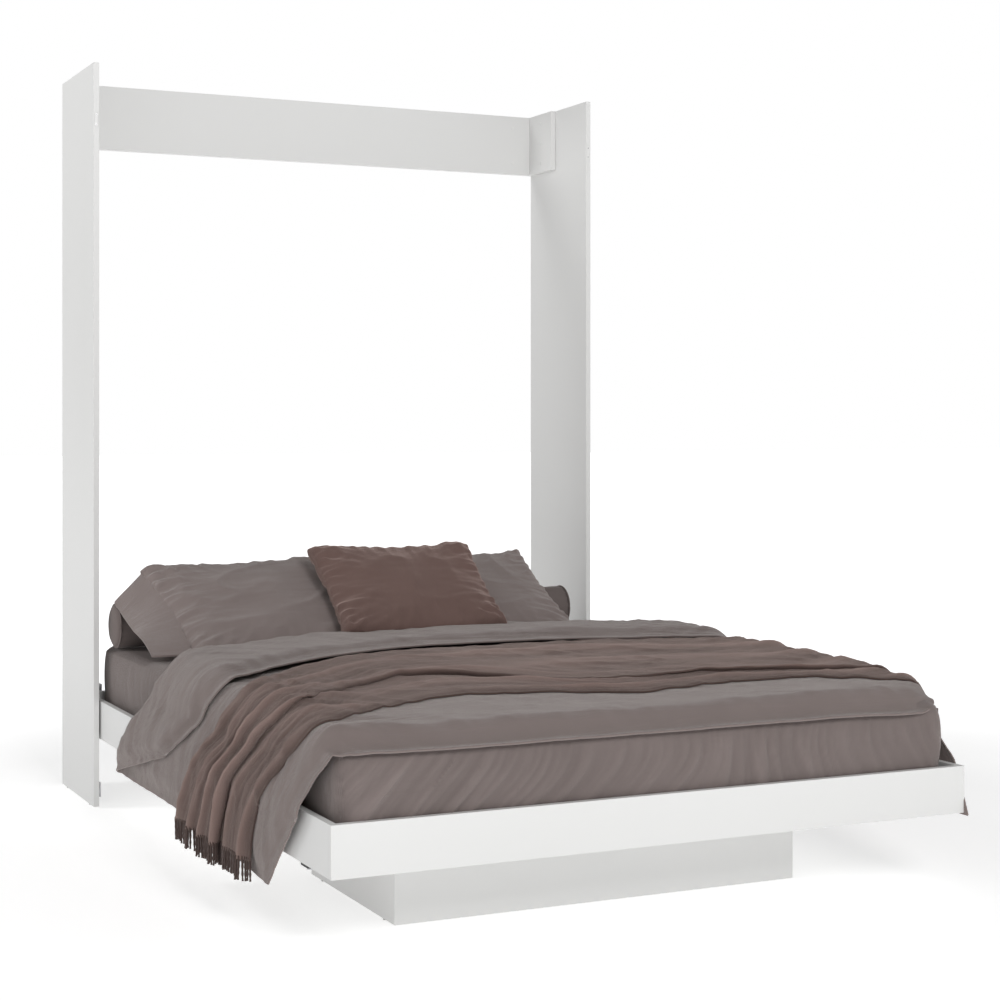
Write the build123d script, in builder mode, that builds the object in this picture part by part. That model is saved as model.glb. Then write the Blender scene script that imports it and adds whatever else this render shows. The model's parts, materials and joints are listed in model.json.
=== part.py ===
from build123d import *
import math
import os

# Millimetres. X runs across the bed, +Y points at the wall and +Z points up.
# Every depth below is a distance out from the wall, so y = WALL_Y - depth.
WALL_Y = 1171.5

# cabinet
HALF_WIDTH = 850.0
BOARD = 17.0
PANEL_DEPTH = 411.0
PANEL_HEIGHT = 2243.0
GLIDE = 3.0
EDGE = 0.6
INNER = HALF_WIDTH - BOARD
RAIL_THICK = 22.0
RAIL_LOW = 2038.5
CHEEK_DEPTH = 190.0
STRETCHER_LOW = 150.0
STRETCHER_HIGH = 270.0
WALL_HOLE_R = 3.5
WALL_HOLE_X = 750.0
WALL_HOLE_LOW = 2078.5
WALL_HOLE_HIGH = 2202.5

# pivot
PIVOT_D = 358.0
PIVOT_Z = 258.0
PIN_R = 8.0
BUSH_R = 11.0
BUSH_FLANGE_R = 18.0
BUSH_END = 848.0
RUNNING = 0.05

# tray
TRAY_HALF = 828.3
TRAY_LOW = 205.0
TRAY_HIGH = 320.0
HEAD_HIGH = 336.0
HEAD_D = 300.0
FOOT_D = 2343.0
TRAY_IN = TRAY_HALF - BOARD
BASE_THICK = 16.0
BASE_SPLIT_D = 1321.5

# slat base
RAIL_TUBE = 30.0
TUBE_WALL = 2.0
SLAT_ROWS = 13
SLAT_WIDTH = 68.0
SLAT_THICK = 9.0
SLAT_FIRST_D = 470.0
SLAT_PITCH = 146.0
SLAT_LOW = 266.0

# leg box
LEG_HALF = 549.0
LEG_BACK_D = 1475.0
LEG_FRONT_D = 2021.0

# counterbalance
LEVER_D = 276.0
LEVER_Z = 340.0
ANCHOR_Z = 36.0
ROD_R = 6.0
SPRING_R = 11.5
SPRING_X = 813.5
SPRING_NECK = 15.0
EYE_R = 11.0
EYE_CLEAR = 0.5

# bed lock
LOCK_X = 811.0
LOCK_D = 2171.0
LOCK_POST_R = 4.0
STRIKE_Z = 2071.0
STRIKE_HIGH = 44.0
STRIKE_WIDE = 12.0

# bedding
MATTRESS_HALF = 798.0
MATTRESS_HEAD_D = 323.0
MATTRESS_FOOT_D = 2319.0
MATTRESS_LOW = 281.0
MATTRESS_HIGH = 478.0
SHEET = 1.5
SHEET_GAP = 0.4
BOLSTER_R = 66.0
BOLSTER_D = 450.0
BOLSTER_Z = 550.0

# cabinet joints and fasteners
CHEEK_SCREW_D = 106.0
CHEEK_SCREW_Z = (2070.0, 2140.0, 2210.0)
SCREW_R = 2.0
SCREW_SHORT = 1.0
DOWEL_R = 4.0
DOWEL_IN = 15.0
DOWEL_OUT = 10.0
DOWEL_D = RAIL_THICK / 2
DOWEL_Z = (2085.0, 2195.0, 180.0, 240.0)
STRIKE_X = HALF_WIDTH - BOARD / 2
STRIKE_DEEP = 2.0
STRIKE_SCREW_DZ = 15.0
ANCHOR_SCREW_D = (251.0, 301.0)
ANCHOR_SCREW_Z = (70.0, 100.0)
CHEEK_HEAD_R = 4.5
CHEEK_HEAD = 1.8
STRIKE_SUNK = 0.2
STRIKE_FACE = PANEL_DEPTH - STRIKE_SUNK
STRIKE_BACK = PANEL_DEPTH - STRIKE_DEEP
STRIKE_TRIM = 0.3
BUSH_FLANGE = 2.0
GLIDE_D = (60.0, 350.0)
GLIDE_R = 7.0

# counterbalance anchors
ANCHOR_PLATE = 4.0
ANCHOR_IN = 797.0
ANCHOR_D = (240.0, 312.0)
ANCHOR_EAR_D = (258.0, 290.0)
ANCHOR_LOW = 8.0
ANCHOR_TOP = 118.0
EAR_TOP = 52.0
ANCHOR_HEAD_R = 4.0
ANCHOR_HEAD = 1.6

# tray joints and fasteners
PLATE_R = 30.0
PLATE_THICK = 4.0
PLATE_SCREW_PCD_R = 21.0
PLATE_SCREW_ANGLES = (45, 135, 225, 315)
PLATE_SCREWS = [
    (PLATE_SCREW_PCD_R * math.cos(math.radians(a)), PLATE_SCREW_PCD_R * math.sin(math.radians(a)))
    for a in PLATE_SCREW_ANGLES
]
SCREW_BITE = 12.0
LEVER_BOLT_X = (780.0, 812.0)
LEVER_BOLT_Z = (232.0, 286.0)
LEVER_BOLT_R = 3.0
STRAP_D = (1730.0, 1770.0)
BASE_GAP = 1.0

# slat base frame
TUBE_LOW = TRAY_LOW + BASE_THICK
TUBE_HIGH = TUBE_LOW + RAIL_TUBE
FRAME_D = (410.0, 2300.0)
FRAME_HALF = 806.0
CROSS_D = (410.0, 1340.0, 2270.0)
CENTRE_HALF = 15.0
HOLDER_LONG = 46.0
HOLDER_WALL = 3.0
SLAT_IN = 26.0
SLAT_D = [SLAT_FIRST_D + SLAT_PITCH * i for i in range(SLAT_ROWS)]
SLAT_END = FRAME_HALF - HOLDER_WALL
SLAT_START = CENTRE_HALF / 2
HOLDER_HALF = SLAT_WIDTH / 2 + HOLDER_WALL
HOLDER_TOP = SLAT_LOW + SLAT_THICK + HOLDER_WALL
POCKET = 0.1
BRACKET = 32.0
BRACKET_THICK = 3.0
BRACKET_Z = (225.0, 262.0)

# pivot pins
PIN_END = 846.0
WASHER_END = 830.6
PLATE_HEAD = 1.5
PLATE_HEAD_R = 3.8

# levers on the bed
LEVER_PLATE = 4.0
LEVER_X = (763.0, 829.0)
LEVER_PLATE_Z = (214.0, 336.0)
EAR_Z = (322.0, 356.0)
EAR_DEEP = 16.0
EAR_X = (797.0, 829.0)
EAR_THICK = 3.5
LEVER_BOLT_HEAD_R = 6.0
LEVER_BOLT_HEAD = 3.0

# leg box fittings
LEG_IN = LEG_HALF - BOARD
LEG_BRACKET_STEP = 110.0
LEG_GLIDE_IN = 70.0
LEG_GLIDE_X = LEG_HALF - BOARD / 2

# bed lock parts
LOCK_BASE = (202.5, TRAY_LOW)
LOCK_BASE_HALF = 13.0
BAR_Z = (194.0, 202.1)
BAR_HALF = 8.0
BAR_REACH = 37.0
POST_HEAD_R = 7.0
POST_HEAD = (191.0, 193.6)

# mattress and bedding details
MATTRESS_EDGE = 18.0
OUT = SHEET + SHEET_GAP
SKIRT_LIFT = 6.0
SKIRT_LOW = MATTRESS_LOW + MATTRESS_EDGE + SKIRT_LIFT
STRAP_CLEAR = 0.6
STRAP_THICK = 1.6
STRAP_IN = MATTRESS_HALF + OUT + STRAP_CLEAR
STRAP_OUT = STRAP_IN + STRAP_THICK
STRAP_LOW = MATTRESS_HIGH + OUT + STRAP_CLEAR
STRAP_HIGH = STRAP_LOW + STRAP_THICK
STRAP_END_Z = 296.0
STRAP_ANCHOR_Z = (297.0, 317.0)
STRAP_ANCHOR_SPREAD = 4.0
DUVET_HALF = 811.0
DUVET_CLEAR = 0.6
DUVET_Z = (STRAP_HIGH + DUVET_CLEAR, 519.0)
DUVET_D = (890.0, 2322.0)
DROP_LOW = 152.0
DROP_CLEAR = 0.5
DROP_IN = TRAY_HALF + DROP_CLEAR
DROP_OUT = 832.2
DROP_STEP_Z = (322.5, 326.0)
DROP_D = (760.0, 2125.0)
THROW_CLEAR = 0.5
THROW_Z = DUVET_Z[1] + THROW_CLEAR
THROW_THICK = 14.0
THROW_OUTLINE = (
    (-811.0, 1560.0),
    (-811.0, 2290.0),
    (-560.0, 2160.0),
    (-300.0, 2080.0),
    (120.0, 2110.0),
    (811.0, 2180.0),
    (811.0, 1520.0),
    (500.0, 1160.0),
    (-120.0, 1100.0),
    (-410.0, 1210.0),
)
BOLSTER_ENDS = (-784.0, 724.0)
BOLSTER_SOFT = 14.0
# Each pad is a lens between its lower front edge and its upper rear edge, run along X.
PILLOW_EDGES = ((862.0, 488.0), (438.0, 735.0))
PILLOW_BULGE = 58.0
CUSHION_EDGES = ((876.0, 540.0), (716.0, 792.0))
CUSHION_BULGE = 52.0
PADS = (
    ("pillow_left", -742.0, -64.0, PILLOW_EDGES, PILLOW_BULGE),
    ("pillow_right", -50.0, 602.0, PILLOW_EDGES, PILLOW_BULGE),
    ("cushion", -262.0, 300.0, CUSHION_EDGES, CUSHION_BULGE),
)

SIDES = (("left", -1), ("right", 1))


def block(x, d, z, mode=Mode.ADD):
    """One box between two x values, two depths and two heights."""
    with Locations((sum(x) / 2, WALL_Y - sum(d) / 2, sum(z) / 2)):
        Box(abs(x[1] - x[0]), abs(d[1] - d[0]), abs(z[1] - z[0]), mode=mode)


def rod_x(x, d, z, r, mode=Mode.ADD):
    """One round bar along X between two x values."""
    with Locations(Location((sum(x) / 2, WALL_Y - d, z), (0, 90, 0))):
        Cylinder(r, abs(x[1] - x[0]), mode=mode)


def rod_y(x, d, z, r, mode=Mode.ADD):
    """One round bar along Y between two depths."""
    with Locations(Location((x, WALL_Y - sum(d) / 2, z), (90, 0, 0))):
        Cylinder(r, abs(d[1] - d[0]), mode=mode)


def rod_z(x, d, z, r, mode=Mode.ADD):
    """One upright round bar between two heights."""
    with Locations((x, WALL_Y - d, sum(z) / 2)):
        Cylinder(r, abs(z[1] - z[0]), mode=mode)


def save(part, name):
    """Label one node and write its file."""
    part.label = name
    export_step(part, f"parts/{name}.step")


os.makedirs("parts", exist_ok=True)

# ---------------------------------------------------------------- cabinet

for side, s in SIDES:
    with BuildPart() as side_panel:
        block((s * INNER, s * HALF_WIDTH), (0, PANEL_DEPTH), (GLIDE, PANEL_HEIGHT))
        chamfer(side_panel.edges(), EDGE)
        rod_x((s * INNER, s * (BUSH_END + RUNNING)), PIVOT_D, PIVOT_Z, BUSH_R + RUNNING, Mode.SUBTRACT)
        for z in DOWEL_Z:
            rod_x((s * INNER, s * (INNER + DOWEL_OUT)), DOWEL_D, z, DOWEL_R, Mode.SUBTRACT)
        for z in CHEEK_SCREW_Z:
            rod_x((s * INNER, s * (INNER + DOWEL_OUT)), CHEEK_SCREW_D, z, SCREW_R, Mode.SUBTRACT)
        for z in ANCHOR_SCREW_Z:
            for d in ANCHOR_SCREW_D:
                rod_x((s * INNER, s * (INNER + DOWEL_OUT)), d, z, SCREW_R, Mode.SUBTRACT)
        block(
            (s * (STRIKE_X - STRIKE_WIDE / 2), s * (STRIKE_X + STRIKE_WIDE / 2)),
            (PANEL_DEPTH - STRIKE_DEEP, PANEL_DEPTH),
            (STRIKE_Z - STRIKE_HIGH / 2, STRIKE_Z + STRIKE_HIGH / 2),
            Mode.SUBTRACT,
        )
        for dz in (-STRIKE_SCREW_DZ, STRIKE_SCREW_DZ):
            rod_y(
                s * STRIKE_X,
                (PANEL_DEPTH - STRIKE_DEEP - DOWEL_IN, PANEL_DEPTH),
                STRIKE_Z + dz,
                SCREW_R,
                Mode.SUBTRACT,
            )
    save(side_panel.part, f"side_panel_{side}")

    with BuildPart() as cheek:
        block((s * (INNER - BOARD), s * INNER), (RAIL_THICK, CHEEK_DEPTH), (RAIL_LOW, PANEL_HEIGHT))
        chamfer(cheek.edges(), EDGE)
        for z in CHEEK_SCREW_Z:
            rod_x((s * (INNER - BOARD), s * INNER), CHEEK_SCREW_D, z, SCREW_R, Mode.SUBTRACT)
    save(cheek.part, f"cheek_{side}")

with BuildPart() as top_rail:
    block((-INNER, INNER), (0, RAIL_THICK), (RAIL_LOW, PANEL_HEIGHT))
    chamfer(top_rail.edges(), EDGE)
    for x in (-WALL_HOLE_X, WALL_HOLE_X):
        for z in (WALL_HOLE_LOW, WALL_HOLE_HIGH):
            rod_y(x, (0, RAIL_THICK), z, WALL_HOLE_R, Mode.SUBTRACT)
    for _, s in SIDES:
        for z in DOWEL_Z[:2]:
            rod_x((s * (INNER - DOWEL_IN), s * INNER), DOWEL_D, z, DOWEL_R, Mode.SUBTRACT)
save(top_rail.part, "top_rail")

with BuildPart() as lower_stretcher:
    block((-INNER, INNER), (0, RAIL_THICK), (STRETCHER_LOW, STRETCHER_HIGH))
    chamfer(lower_stretcher.edges(), EDGE)
    for _, s in SIDES:
        for z in DOWEL_Z[2:]:
            rod_x((s * (INNER - DOWEL_IN), s * INNER), DOWEL_D, z, DOWEL_R, Mode.SUBTRACT)
save(lower_stretcher.part, "lower_stretcher")

with BuildPart() as cabinet_dowels:
    for _, s in SIDES:
        for z in DOWEL_Z:
            rod_x(
                (s * (INNER - DOWEL_IN + RUNNING), s * (INNER + DOWEL_OUT - RUNNING)),
                DOWEL_D,
                z,
                DOWEL_R - RUNNING,
            )
save(cabinet_dowels.part, "cabinet_dowels")

with BuildPart() as cheek_screws:
    for _, s in SIDES:
        for z in CHEEK_SCREW_Z:
            face = INNER - BOARD
            rod_x((s * face, s * (INNER + DOWEL_OUT - SCREW_SHORT)), CHEEK_SCREW_D, z, SCREW_R - RUNNING)
            rod_x((s * (face - CHEEK_HEAD), s * face), CHEEK_SCREW_D, z, CHEEK_HEAD_R)
save(cheek_screws.part, "cheek_screws")

with BuildPart() as strikes:
    for _, s in SIDES:
        block(
            (s * (STRIKE_X - STRIKE_WIDE / 2 + STRIKE_TRIM), s * (STRIKE_X + STRIKE_WIDE / 2 - STRIKE_TRIM)),
            (STRIKE_BACK, STRIKE_FACE),
            (STRIKE_Z - STRIKE_HIGH / 2 + STRIKE_TRIM, STRIKE_Z + STRIKE_HIGH / 2 - STRIKE_TRIM),
        )
        for dz in (-STRIKE_SCREW_DZ, STRIKE_SCREW_DZ):
            rod_y(s * STRIKE_X, (STRIKE_BACK, STRIKE_FACE), STRIKE_Z + dz, SCREW_R, Mode.SUBTRACT)
save(strikes.part, "strikes")

with BuildPart() as strike_screws:
    for _, s in SIDES:
        for dz in (-STRIKE_SCREW_DZ, STRIKE_SCREW_DZ):
            rod_y(
                s * STRIKE_X,
                (STRIKE_BACK - DOWEL_IN + SCREW_SHORT, STRIKE_FACE),
                STRIKE_Z + dz,
                SCREW_R - RUNNING,
            )
save(strike_screws.part, "strike_screws")

with BuildPart() as pivot_bushes:
    for _, s in SIDES:
        rod_x((s * INNER, s * BUSH_END), PIVOT_D, PIVOT_Z, BUSH_R)
        rod_x((s * (INNER - BUSH_FLANGE), s * INNER), PIVOT_D, PIVOT_Z, BUSH_FLANGE_R)
        rod_x((s * (INNER - BUSH_FLANGE), s * BUSH_END), PIVOT_D, PIVOT_Z, PIN_R + RUNNING, Mode.SUBTRACT)
save(pivot_bushes.part, "pivot_bushes")

with BuildPart() as panel_glides:
    for _, s in SIDES:
        for d in GLIDE_D:
            rod_z(s * STRIKE_X, d, (0, GLIDE), GLIDE_R)
save(panel_glides.part, "panel_glides")

# ---------------------------------------------------------------- counterbalance in the cabinet

for side, s in SIDES:
    with BuildPart() as anchor:
        block((s * (INNER - ANCHOR_PLATE), s * INNER), ANCHOR_D, (ANCHOR_LOW, ANCHOR_TOP))
        block((s * ANCHOR_IN, s * INNER), ANCHOR_EAR_D, (ANCHOR_LOW, ANCHOR_LOW + ANCHOR_PLATE))
        block((s * ANCHOR_IN, s * (ANCHOR_IN + ANCHOR_PLATE)), ANCHOR_EAR_D, (ANCHOR_LOW, EAR_TOP))
        rod_x((s * ANCHOR_IN, s * INNER), LEVER_D, ANCHOR_Z, ROD_R + RUNNING, Mode.SUBTRACT)
        for z in ANCHOR_SCREW_Z:
            for d in ANCHOR_SCREW_D:
                rod_x((s * (INNER - ANCHOR_PLATE), s * INNER), d, z, SCREW_R, Mode.SUBTRACT)
    save(anchor.part, f"anchor_{side}")

    with BuildPart() as spring:
        plate = (s * SPRING_X - TUBE_WALL, s * SPRING_X + TUBE_WALL)
        rod_z(s * SPRING_X, LEVER_D, (ANCHOR_Z + SPRING_NECK, LEVER_Z - SPRING_NECK), SPRING_R)
        block(plate, (LEVER_D - ROD_R, LEVER_D + ROD_R), (ANCHOR_Z, LEVER_Z))
        for z in (ANCHOR_Z, LEVER_Z):
            rod_x(plate, LEVER_D, z, EYE_R)
            rod_x((s * SPRING_X - EYE_R, s * SPRING_X + EYE_R), LEVER_D, z, ROD_R + EYE_CLEAR, Mode.SUBTRACT)
    save(spring.part, f"spring_{side}")

with BuildPart() as anchor_rods:
    for _, s in SIDES:
        rod_x((s * ANCHOR_IN, s * INNER), LEVER_D, ANCHOR_Z, ROD_R)
save(anchor_rods.part, "anchor_rods")

with BuildPart() as anchor_screws:
    for _, s in SIDES:
        for z in ANCHOR_SCREW_Z:
            for d in ANCHOR_SCREW_D:
                face = INNER - ANCHOR_PLATE
                rod_x((s * face, s * (INNER + DOWEL_OUT - SCREW_SHORT)), d, z, SCREW_R - RUNNING)
                rod_x((s * (face - ANCHOR_HEAD), s * face), d, z, ANCHOR_HEAD_R)
save(anchor_screws.part, "anchor_screws")

# ---------------------------------------------------------------- tray

for side, s in SIDES:
    with BuildPart() as side_board:
        block((s * TRAY_IN, s * TRAY_HALF), (HEAD_D + BOARD, FOOT_D - BOARD), (TRAY_LOW, TRAY_HIGH))
        chamfer(side_board.edges(), EDGE)
        rod_x((s * TRAY_IN, s * TRAY_HALF), PIVOT_D, PIVOT_Z, PIN_R + RUNNING, Mode.SUBTRACT)
        for dd, dz in PLATE_SCREWS:
            rod_x(
                (s * TRAY_IN, s * (TRAY_IN + SCREW_BITE)),
                PIVOT_D + dd,
                PIVOT_Z + dz,
                SCREW_R,
                Mode.SUBTRACT,
            )
    save(side_board.part, f"side_board_{side}")

with BuildPart() as foot_board:
    block((-TRAY_HALF, TRAY_HALF), (FOOT_D - BOARD, FOOT_D), (TRAY_LOW, TRAY_HIGH))
    chamfer(foot_board.edges(), EDGE)
save(foot_board.part, "foot_board")

with BuildPart() as head_board:
    block((-TRAY_HALF, TRAY_HALF), (HEAD_D, HEAD_D + BOARD), (TRAY_LOW, HEAD_HIGH))
    chamfer(head_board.edges(), EDGE)
    for _, s in SIDES:
        for x in LEVER_BOLT_X:
            for z in LEVER_BOLT_Z:
                rod_y(s * x, (HEAD_D, HEAD_D + BOARD), z, LEVER_BOLT_R + RUNNING, Mode.SUBTRACT)
save(head_board.part, "head_board")

with BuildPart() as base_panel_head:
    block(
        (-TRAY_IN, TRAY_IN), (HEAD_D + BOARD, BASE_SPLIT_D - BASE_GAP), (TRAY_LOW, TRAY_LOW + BASE_THICK)
    )
    chamfer(base_panel_head.edges(), EDGE)
save(base_panel_head.part, "base_panel_head")

with BuildPart() as base_panel_foot:
    block(
        (-TRAY_IN, TRAY_IN), (BASE_SPLIT_D + BASE_GAP, FOOT_D - BOARD), (TRAY_LOW, TRAY_LOW + BASE_THICK)
    )
    chamfer(base_panel_foot.edges(), EDGE)
save(base_panel_foot.part, "base_panel_foot")

# ---------------------------------------------------------------- slat base

for side, s in SIDES:
    with BuildPart() as slat_rail:
        block((s * (FRAME_HALF - RAIL_TUBE), s * FRAME_HALF), FRAME_D, (TUBE_LOW, TUBE_HIGH))
        block(
            (s * (FRAME_HALF - RAIL_TUBE + TUBE_WALL), s * (FRAME_HALF - TUBE_WALL)),
            FRAME_D,
            (TUBE_LOW + TUBE_WALL, TUBE_HIGH - TUBE_WALL),
            Mode.SUBTRACT,
        )
    save(slat_rail.part, f"slat_rail_{side}")

with BuildPart() as cross_tubes:
    for d in CROSS_D:
        for _, s in SIDES:
            ends = (s * CENTRE_HALF, s * (FRAME_HALF - RAIL_TUBE))
            block(ends, (d, d + RAIL_TUBE), (TUBE_LOW, TUBE_HIGH))
            block(
                ends,
                (d + TUBE_WALL, d + RAIL_TUBE - TUBE_WALL),
                (TUBE_LOW + TUBE_WALL, TUBE_HIGH - TUBE_WALL),
                Mode.SUBTRACT,
            )
save(cross_tubes.part, "cross_tubes")

with BuildPart() as centre_beam:
    block((-CENTRE_HALF, CENTRE_HALF), FRAME_D, (TUBE_LOW, TUBE_HIGH))
    block(
        (-CENTRE_HALF + TUBE_WALL, CENTRE_HALF - TUBE_WALL),
        FRAME_D,
        (TUBE_LOW + TUBE_WALL, TUBE_HIGH - TUBE_WALL),
        Mode.SUBTRACT,
    )
save(centre_beam.part, "centre_beam")

with BuildPart() as slats:
    for d in SLAT_D:
        for _, s in SIDES:
            block(
                (s * SLAT_START, s * SLAT_END),
                (d - SLAT_WIDTH / 2, d + SLAT_WIDTH / 2),
                (SLAT_LOW, SLAT_LOW + SLAT_THICK),
            )
save(slats.part, "slats")

with BuildPart() as slat_holders:
    for d in SLAT_D:
        for _, s in SIDES:
            block(
                (s * (FRAME_HALF - HOLDER_LONG), s * FRAME_HALF),
                (d - HOLDER_HALF, d + HOLDER_HALF),
                (TUBE_HIGH, HOLDER_TOP),
            )
            block(
                (s * (FRAME_HALF - HOLDER_LONG), s * (SLAT_END + POCKET)),
                (d - SLAT_WIDTH / 2 - POCKET, d + SLAT_WIDTH / 2 + POCKET),
                (SLAT_LOW - POCKET, SLAT_LOW + SLAT_THICK + POCKET),
                Mode.SUBTRACT,
            )
        block((-SLAT_IN, SLAT_IN), (d - HOLDER_HALF, d + HOLDER_HALF), (TUBE_HIGH, HOLDER_TOP))
        for _, s in SIDES:
            block(
                (s * (SLAT_START - POCKET), s * SLAT_IN),
                (d - SLAT_WIDTH / 2 - POCKET, d + SLAT_WIDTH / 2 + POCKET),
                (SLAT_LOW - POCKET, SLAT_LOW + SLAT_THICK + POCKET),
                Mode.SUBTRACT,
            )
save(slat_holders.part, "slat_holders")

with BuildPart() as corner_brackets:
    for _, s in SIDES:
        for wall, out in ((HEAD_D + BOARD, 1), (FOOT_D - BOARD, -1)):
            if out == 1:
                inner = TRAY_IN - BRACKET_THICK - PLATE_R
            else:
                inner = TRAY_IN
            block(
                (s * (inner - BRACKET), s * inner),
                (wall, wall + out * BRACKET_THICK),
                BRACKET_Z,
            )
            block(
                (s * (inner - BRACKET_THICK), s * inner),
                (wall, wall + out * (BRACKET / 2)),
                (TUBE_LOW, BRACKET_Z[1]),
            )
save(corner_brackets.part, "corner_brackets")

# ---------------------------------------------------------------- pivots

with BuildPart() as pivot_pins:
    for _, s in SIDES:
        rod_x((s * (TRAY_IN - PLATE_THICK), s * TRAY_IN), PIVOT_D, PIVOT_Z, PLATE_R)
        rod_x((s * (TRAY_IN - PLATE_THICK), s * PIN_END), PIVOT_D, PIVOT_Z, PIN_R)
        for dd, dz in PLATE_SCREWS:
            rod_x(
                (s * (TRAY_IN - PLATE_THICK), s * TRAY_IN), PIVOT_D + dd, PIVOT_Z + dz, SCREW_R, Mode.SUBTRACT
            )
save(pivot_pins.part, "pivot_pins")

with BuildPart() as pivot_screws:
    for _, s in SIDES:
        for dd, dz in PLATE_SCREWS:
            face = TRAY_IN - PLATE_THICK
            rod_x(
                (s * face, s * (TRAY_IN + SCREW_BITE - SCREW_SHORT)),
                PIVOT_D + dd,
                PIVOT_Z + dz,
                SCREW_R - RUNNING,
            )
            rod_x((s * (face - PLATE_HEAD), s * face), PIVOT_D + dd, PIVOT_Z + dz, PLATE_HEAD_R)
save(pivot_screws.part, "pivot_screws")

with BuildPart() as pivot_washers:
    for _, s in SIDES:
        rod_x((s * TRAY_HALF, s * WASHER_END), PIVOT_D, PIVOT_Z, BUSH_FLANGE_R)
        rod_x((s * TRAY_HALF, s * WASHER_END), PIVOT_D, PIVOT_Z, PIN_R + RUNNING, Mode.SUBTRACT)
save(pivot_washers.part, "pivot_washers")

# ---------------------------------------------------------------- levers on the bed

for side, s in SIDES:
    with BuildPart() as lever:
        block((s * LEVER_X[0], s * LEVER_X[1]), (HEAD_D - LEVER_PLATE, HEAD_D), LEVER_PLATE_Z)
        for x in (EAR_X[0], EAR_X[1] - EAR_THICK):
            block((s * x, s * (x + EAR_THICK)), (LEVER_D - EAR_DEEP, HEAD_D), EAR_Z)
        rod_x((s * EAR_X[0], s * EAR_X[1]), LEVER_D, LEVER_Z, ROD_R + RUNNING, Mode.SUBTRACT)
        block(
            (s * (EAR_X[0] + EAR_THICK), s * (EAR_X[1] - EAR_THICK)),
            (LEVER_D - EAR_DEEP, HEAD_D),
            (EAR_Z[0] - EYE_R, EAR_Z[1]),
            Mode.SUBTRACT,
        )
        for x in LEVER_BOLT_X:
            for z in LEVER_BOLT_Z:
                rod_y(
                    s * x, (HEAD_D - LEVER_PLATE, HEAD_D), z, LEVER_BOLT_R + RUNNING, Mode.SUBTRACT
                )
    save(lever.part, f"lever_{side}")

with BuildPart() as lever_rods:
    for _, s in SIDES:
        rod_x((s * EAR_X[0], s * EAR_X[1]), LEVER_D, LEVER_Z, ROD_R)
save(lever_rods.part, "lever_rods")

with BuildPart() as lever_bolts:
    for _, s in SIDES:
        for x in LEVER_BOLT_X:
            for z in LEVER_BOLT_Z:
                rod_y(s * x, (HEAD_D - LEVER_PLATE, HEAD_D + BOARD), z, LEVER_BOLT_R)
                rod_y(
                    s * x,
                    (HEAD_D - LEVER_PLATE - LEVER_BOLT_HEAD, HEAD_D - LEVER_PLATE),
                    z,
                    LEVER_BOLT_HEAD_R,
                )
save(lever_bolts.part, "lever_bolts")

# ---------------------------------------------------------------- leg box

with BuildPart() as leg_front:
    block((-LEG_HALF, LEG_HALF), (LEG_FRONT_D - BOARD, LEG_FRONT_D), (GLIDE, TRAY_LOW))
    chamfer(leg_front.edges(), EDGE)
save(leg_front.part, "leg_front")

with BuildPart() as leg_back:
    block((-LEG_HALF, LEG_HALF), (LEG_BACK_D, LEG_BACK_D + BOARD), (GLIDE, TRAY_LOW))
    chamfer(leg_back.edges(), EDGE)
save(leg_back.part, "leg_back")

for side, s in SIDES:
    with BuildPart() as leg_side:
        block(
            (s * (LEG_HALF - BOARD), s * LEG_HALF),
            (LEG_BACK_D + BOARD, LEG_FRONT_D - BOARD),
            (GLIDE, TRAY_LOW),
        )
        chamfer(leg_side.edges(), EDGE)
    save(leg_side.part, f"leg_{side}")

with BuildPart() as leg_brackets:
    for _, s in SIDES:
        for wall, out in ((LEG_BACK_D + BOARD, 1), (LEG_FRONT_D - BOARD, -1)):
            for top in (TRAY_LOW, TRAY_LOW - LEG_BRACKET_STEP):
                levels = (top - BRACKET, top)
                block((s * (LEG_IN - BRACKET), s * LEG_IN), (wall, wall + out * BRACKET_THICK), levels)
                block((s * (LEG_IN - BRACKET_THICK), s * LEG_IN), (wall, wall + out * BRACKET), levels)
save(leg_brackets.part, "leg_brackets")

with BuildPart() as leg_glides:
    for _, s in SIDES:
        for d in (LEG_BACK_D + LEG_GLIDE_IN, LEG_FRONT_D - LEG_GLIDE_IN):
            rod_z(s * LEG_GLIDE_X, d, (0, GLIDE), GLIDE_R)
save(leg_glides.part, "leg_glides")

# ---------------------------------------------------------------- bed locks

with BuildPart() as latch_bases:
    for _, s in SIDES:
        block(
            (s * LOCK_X - LOCK_BASE_HALF, s * LOCK_X + LOCK_BASE_HALF),
            (LOCK_D - LOCK_BASE_HALF, LOCK_D + LOCK_BASE_HALF),
            LOCK_BASE,
        )
        rod_z(s * LOCK_X, LOCK_D, LOCK_BASE, LOCK_POST_R + RUNNING, Mode.SUBTRACT)
save(latch_bases.part, "latch_bases")

with BuildPart() as latch_posts:
    for _, s in SIDES:
        rod_z(s * LOCK_X, LOCK_D, (POST_HEAD[0], TRAY_LOW), LOCK_POST_R)
        rod_z(s * LOCK_X, LOCK_D, POST_HEAD, POST_HEAD_R)
save(latch_posts.part, "latch_posts")

for side, s in SIDES:
    with BuildPart() as latch_bar:
        block((s * LOCK_X - BAR_HALF, s * LOCK_X + BAR_HALF), (LOCK_D - BAR_REACH, LOCK_D), BAR_Z)
        rod_z(s * LOCK_X, LOCK_D, BAR_Z, BAR_HALF)
        rod_z(s * LOCK_X, LOCK_D, BAR_Z, LOCK_POST_R + RUNNING, Mode.SUBTRACT)
    save(latch_bar.part, f"latch_bar_{side}")

# ---------------------------------------------------------------- mattress and bedding

with BuildPart() as mattress:
    block((-MATTRESS_HALF, MATTRESS_HALF), (MATTRESS_HEAD_D, MATTRESS_FOOT_D), (MATTRESS_LOW, MATTRESS_HIGH))
    fillet(mattress.edges(), MATTRESS_EDGE)
save(mattress.part, "mattress")

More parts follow.
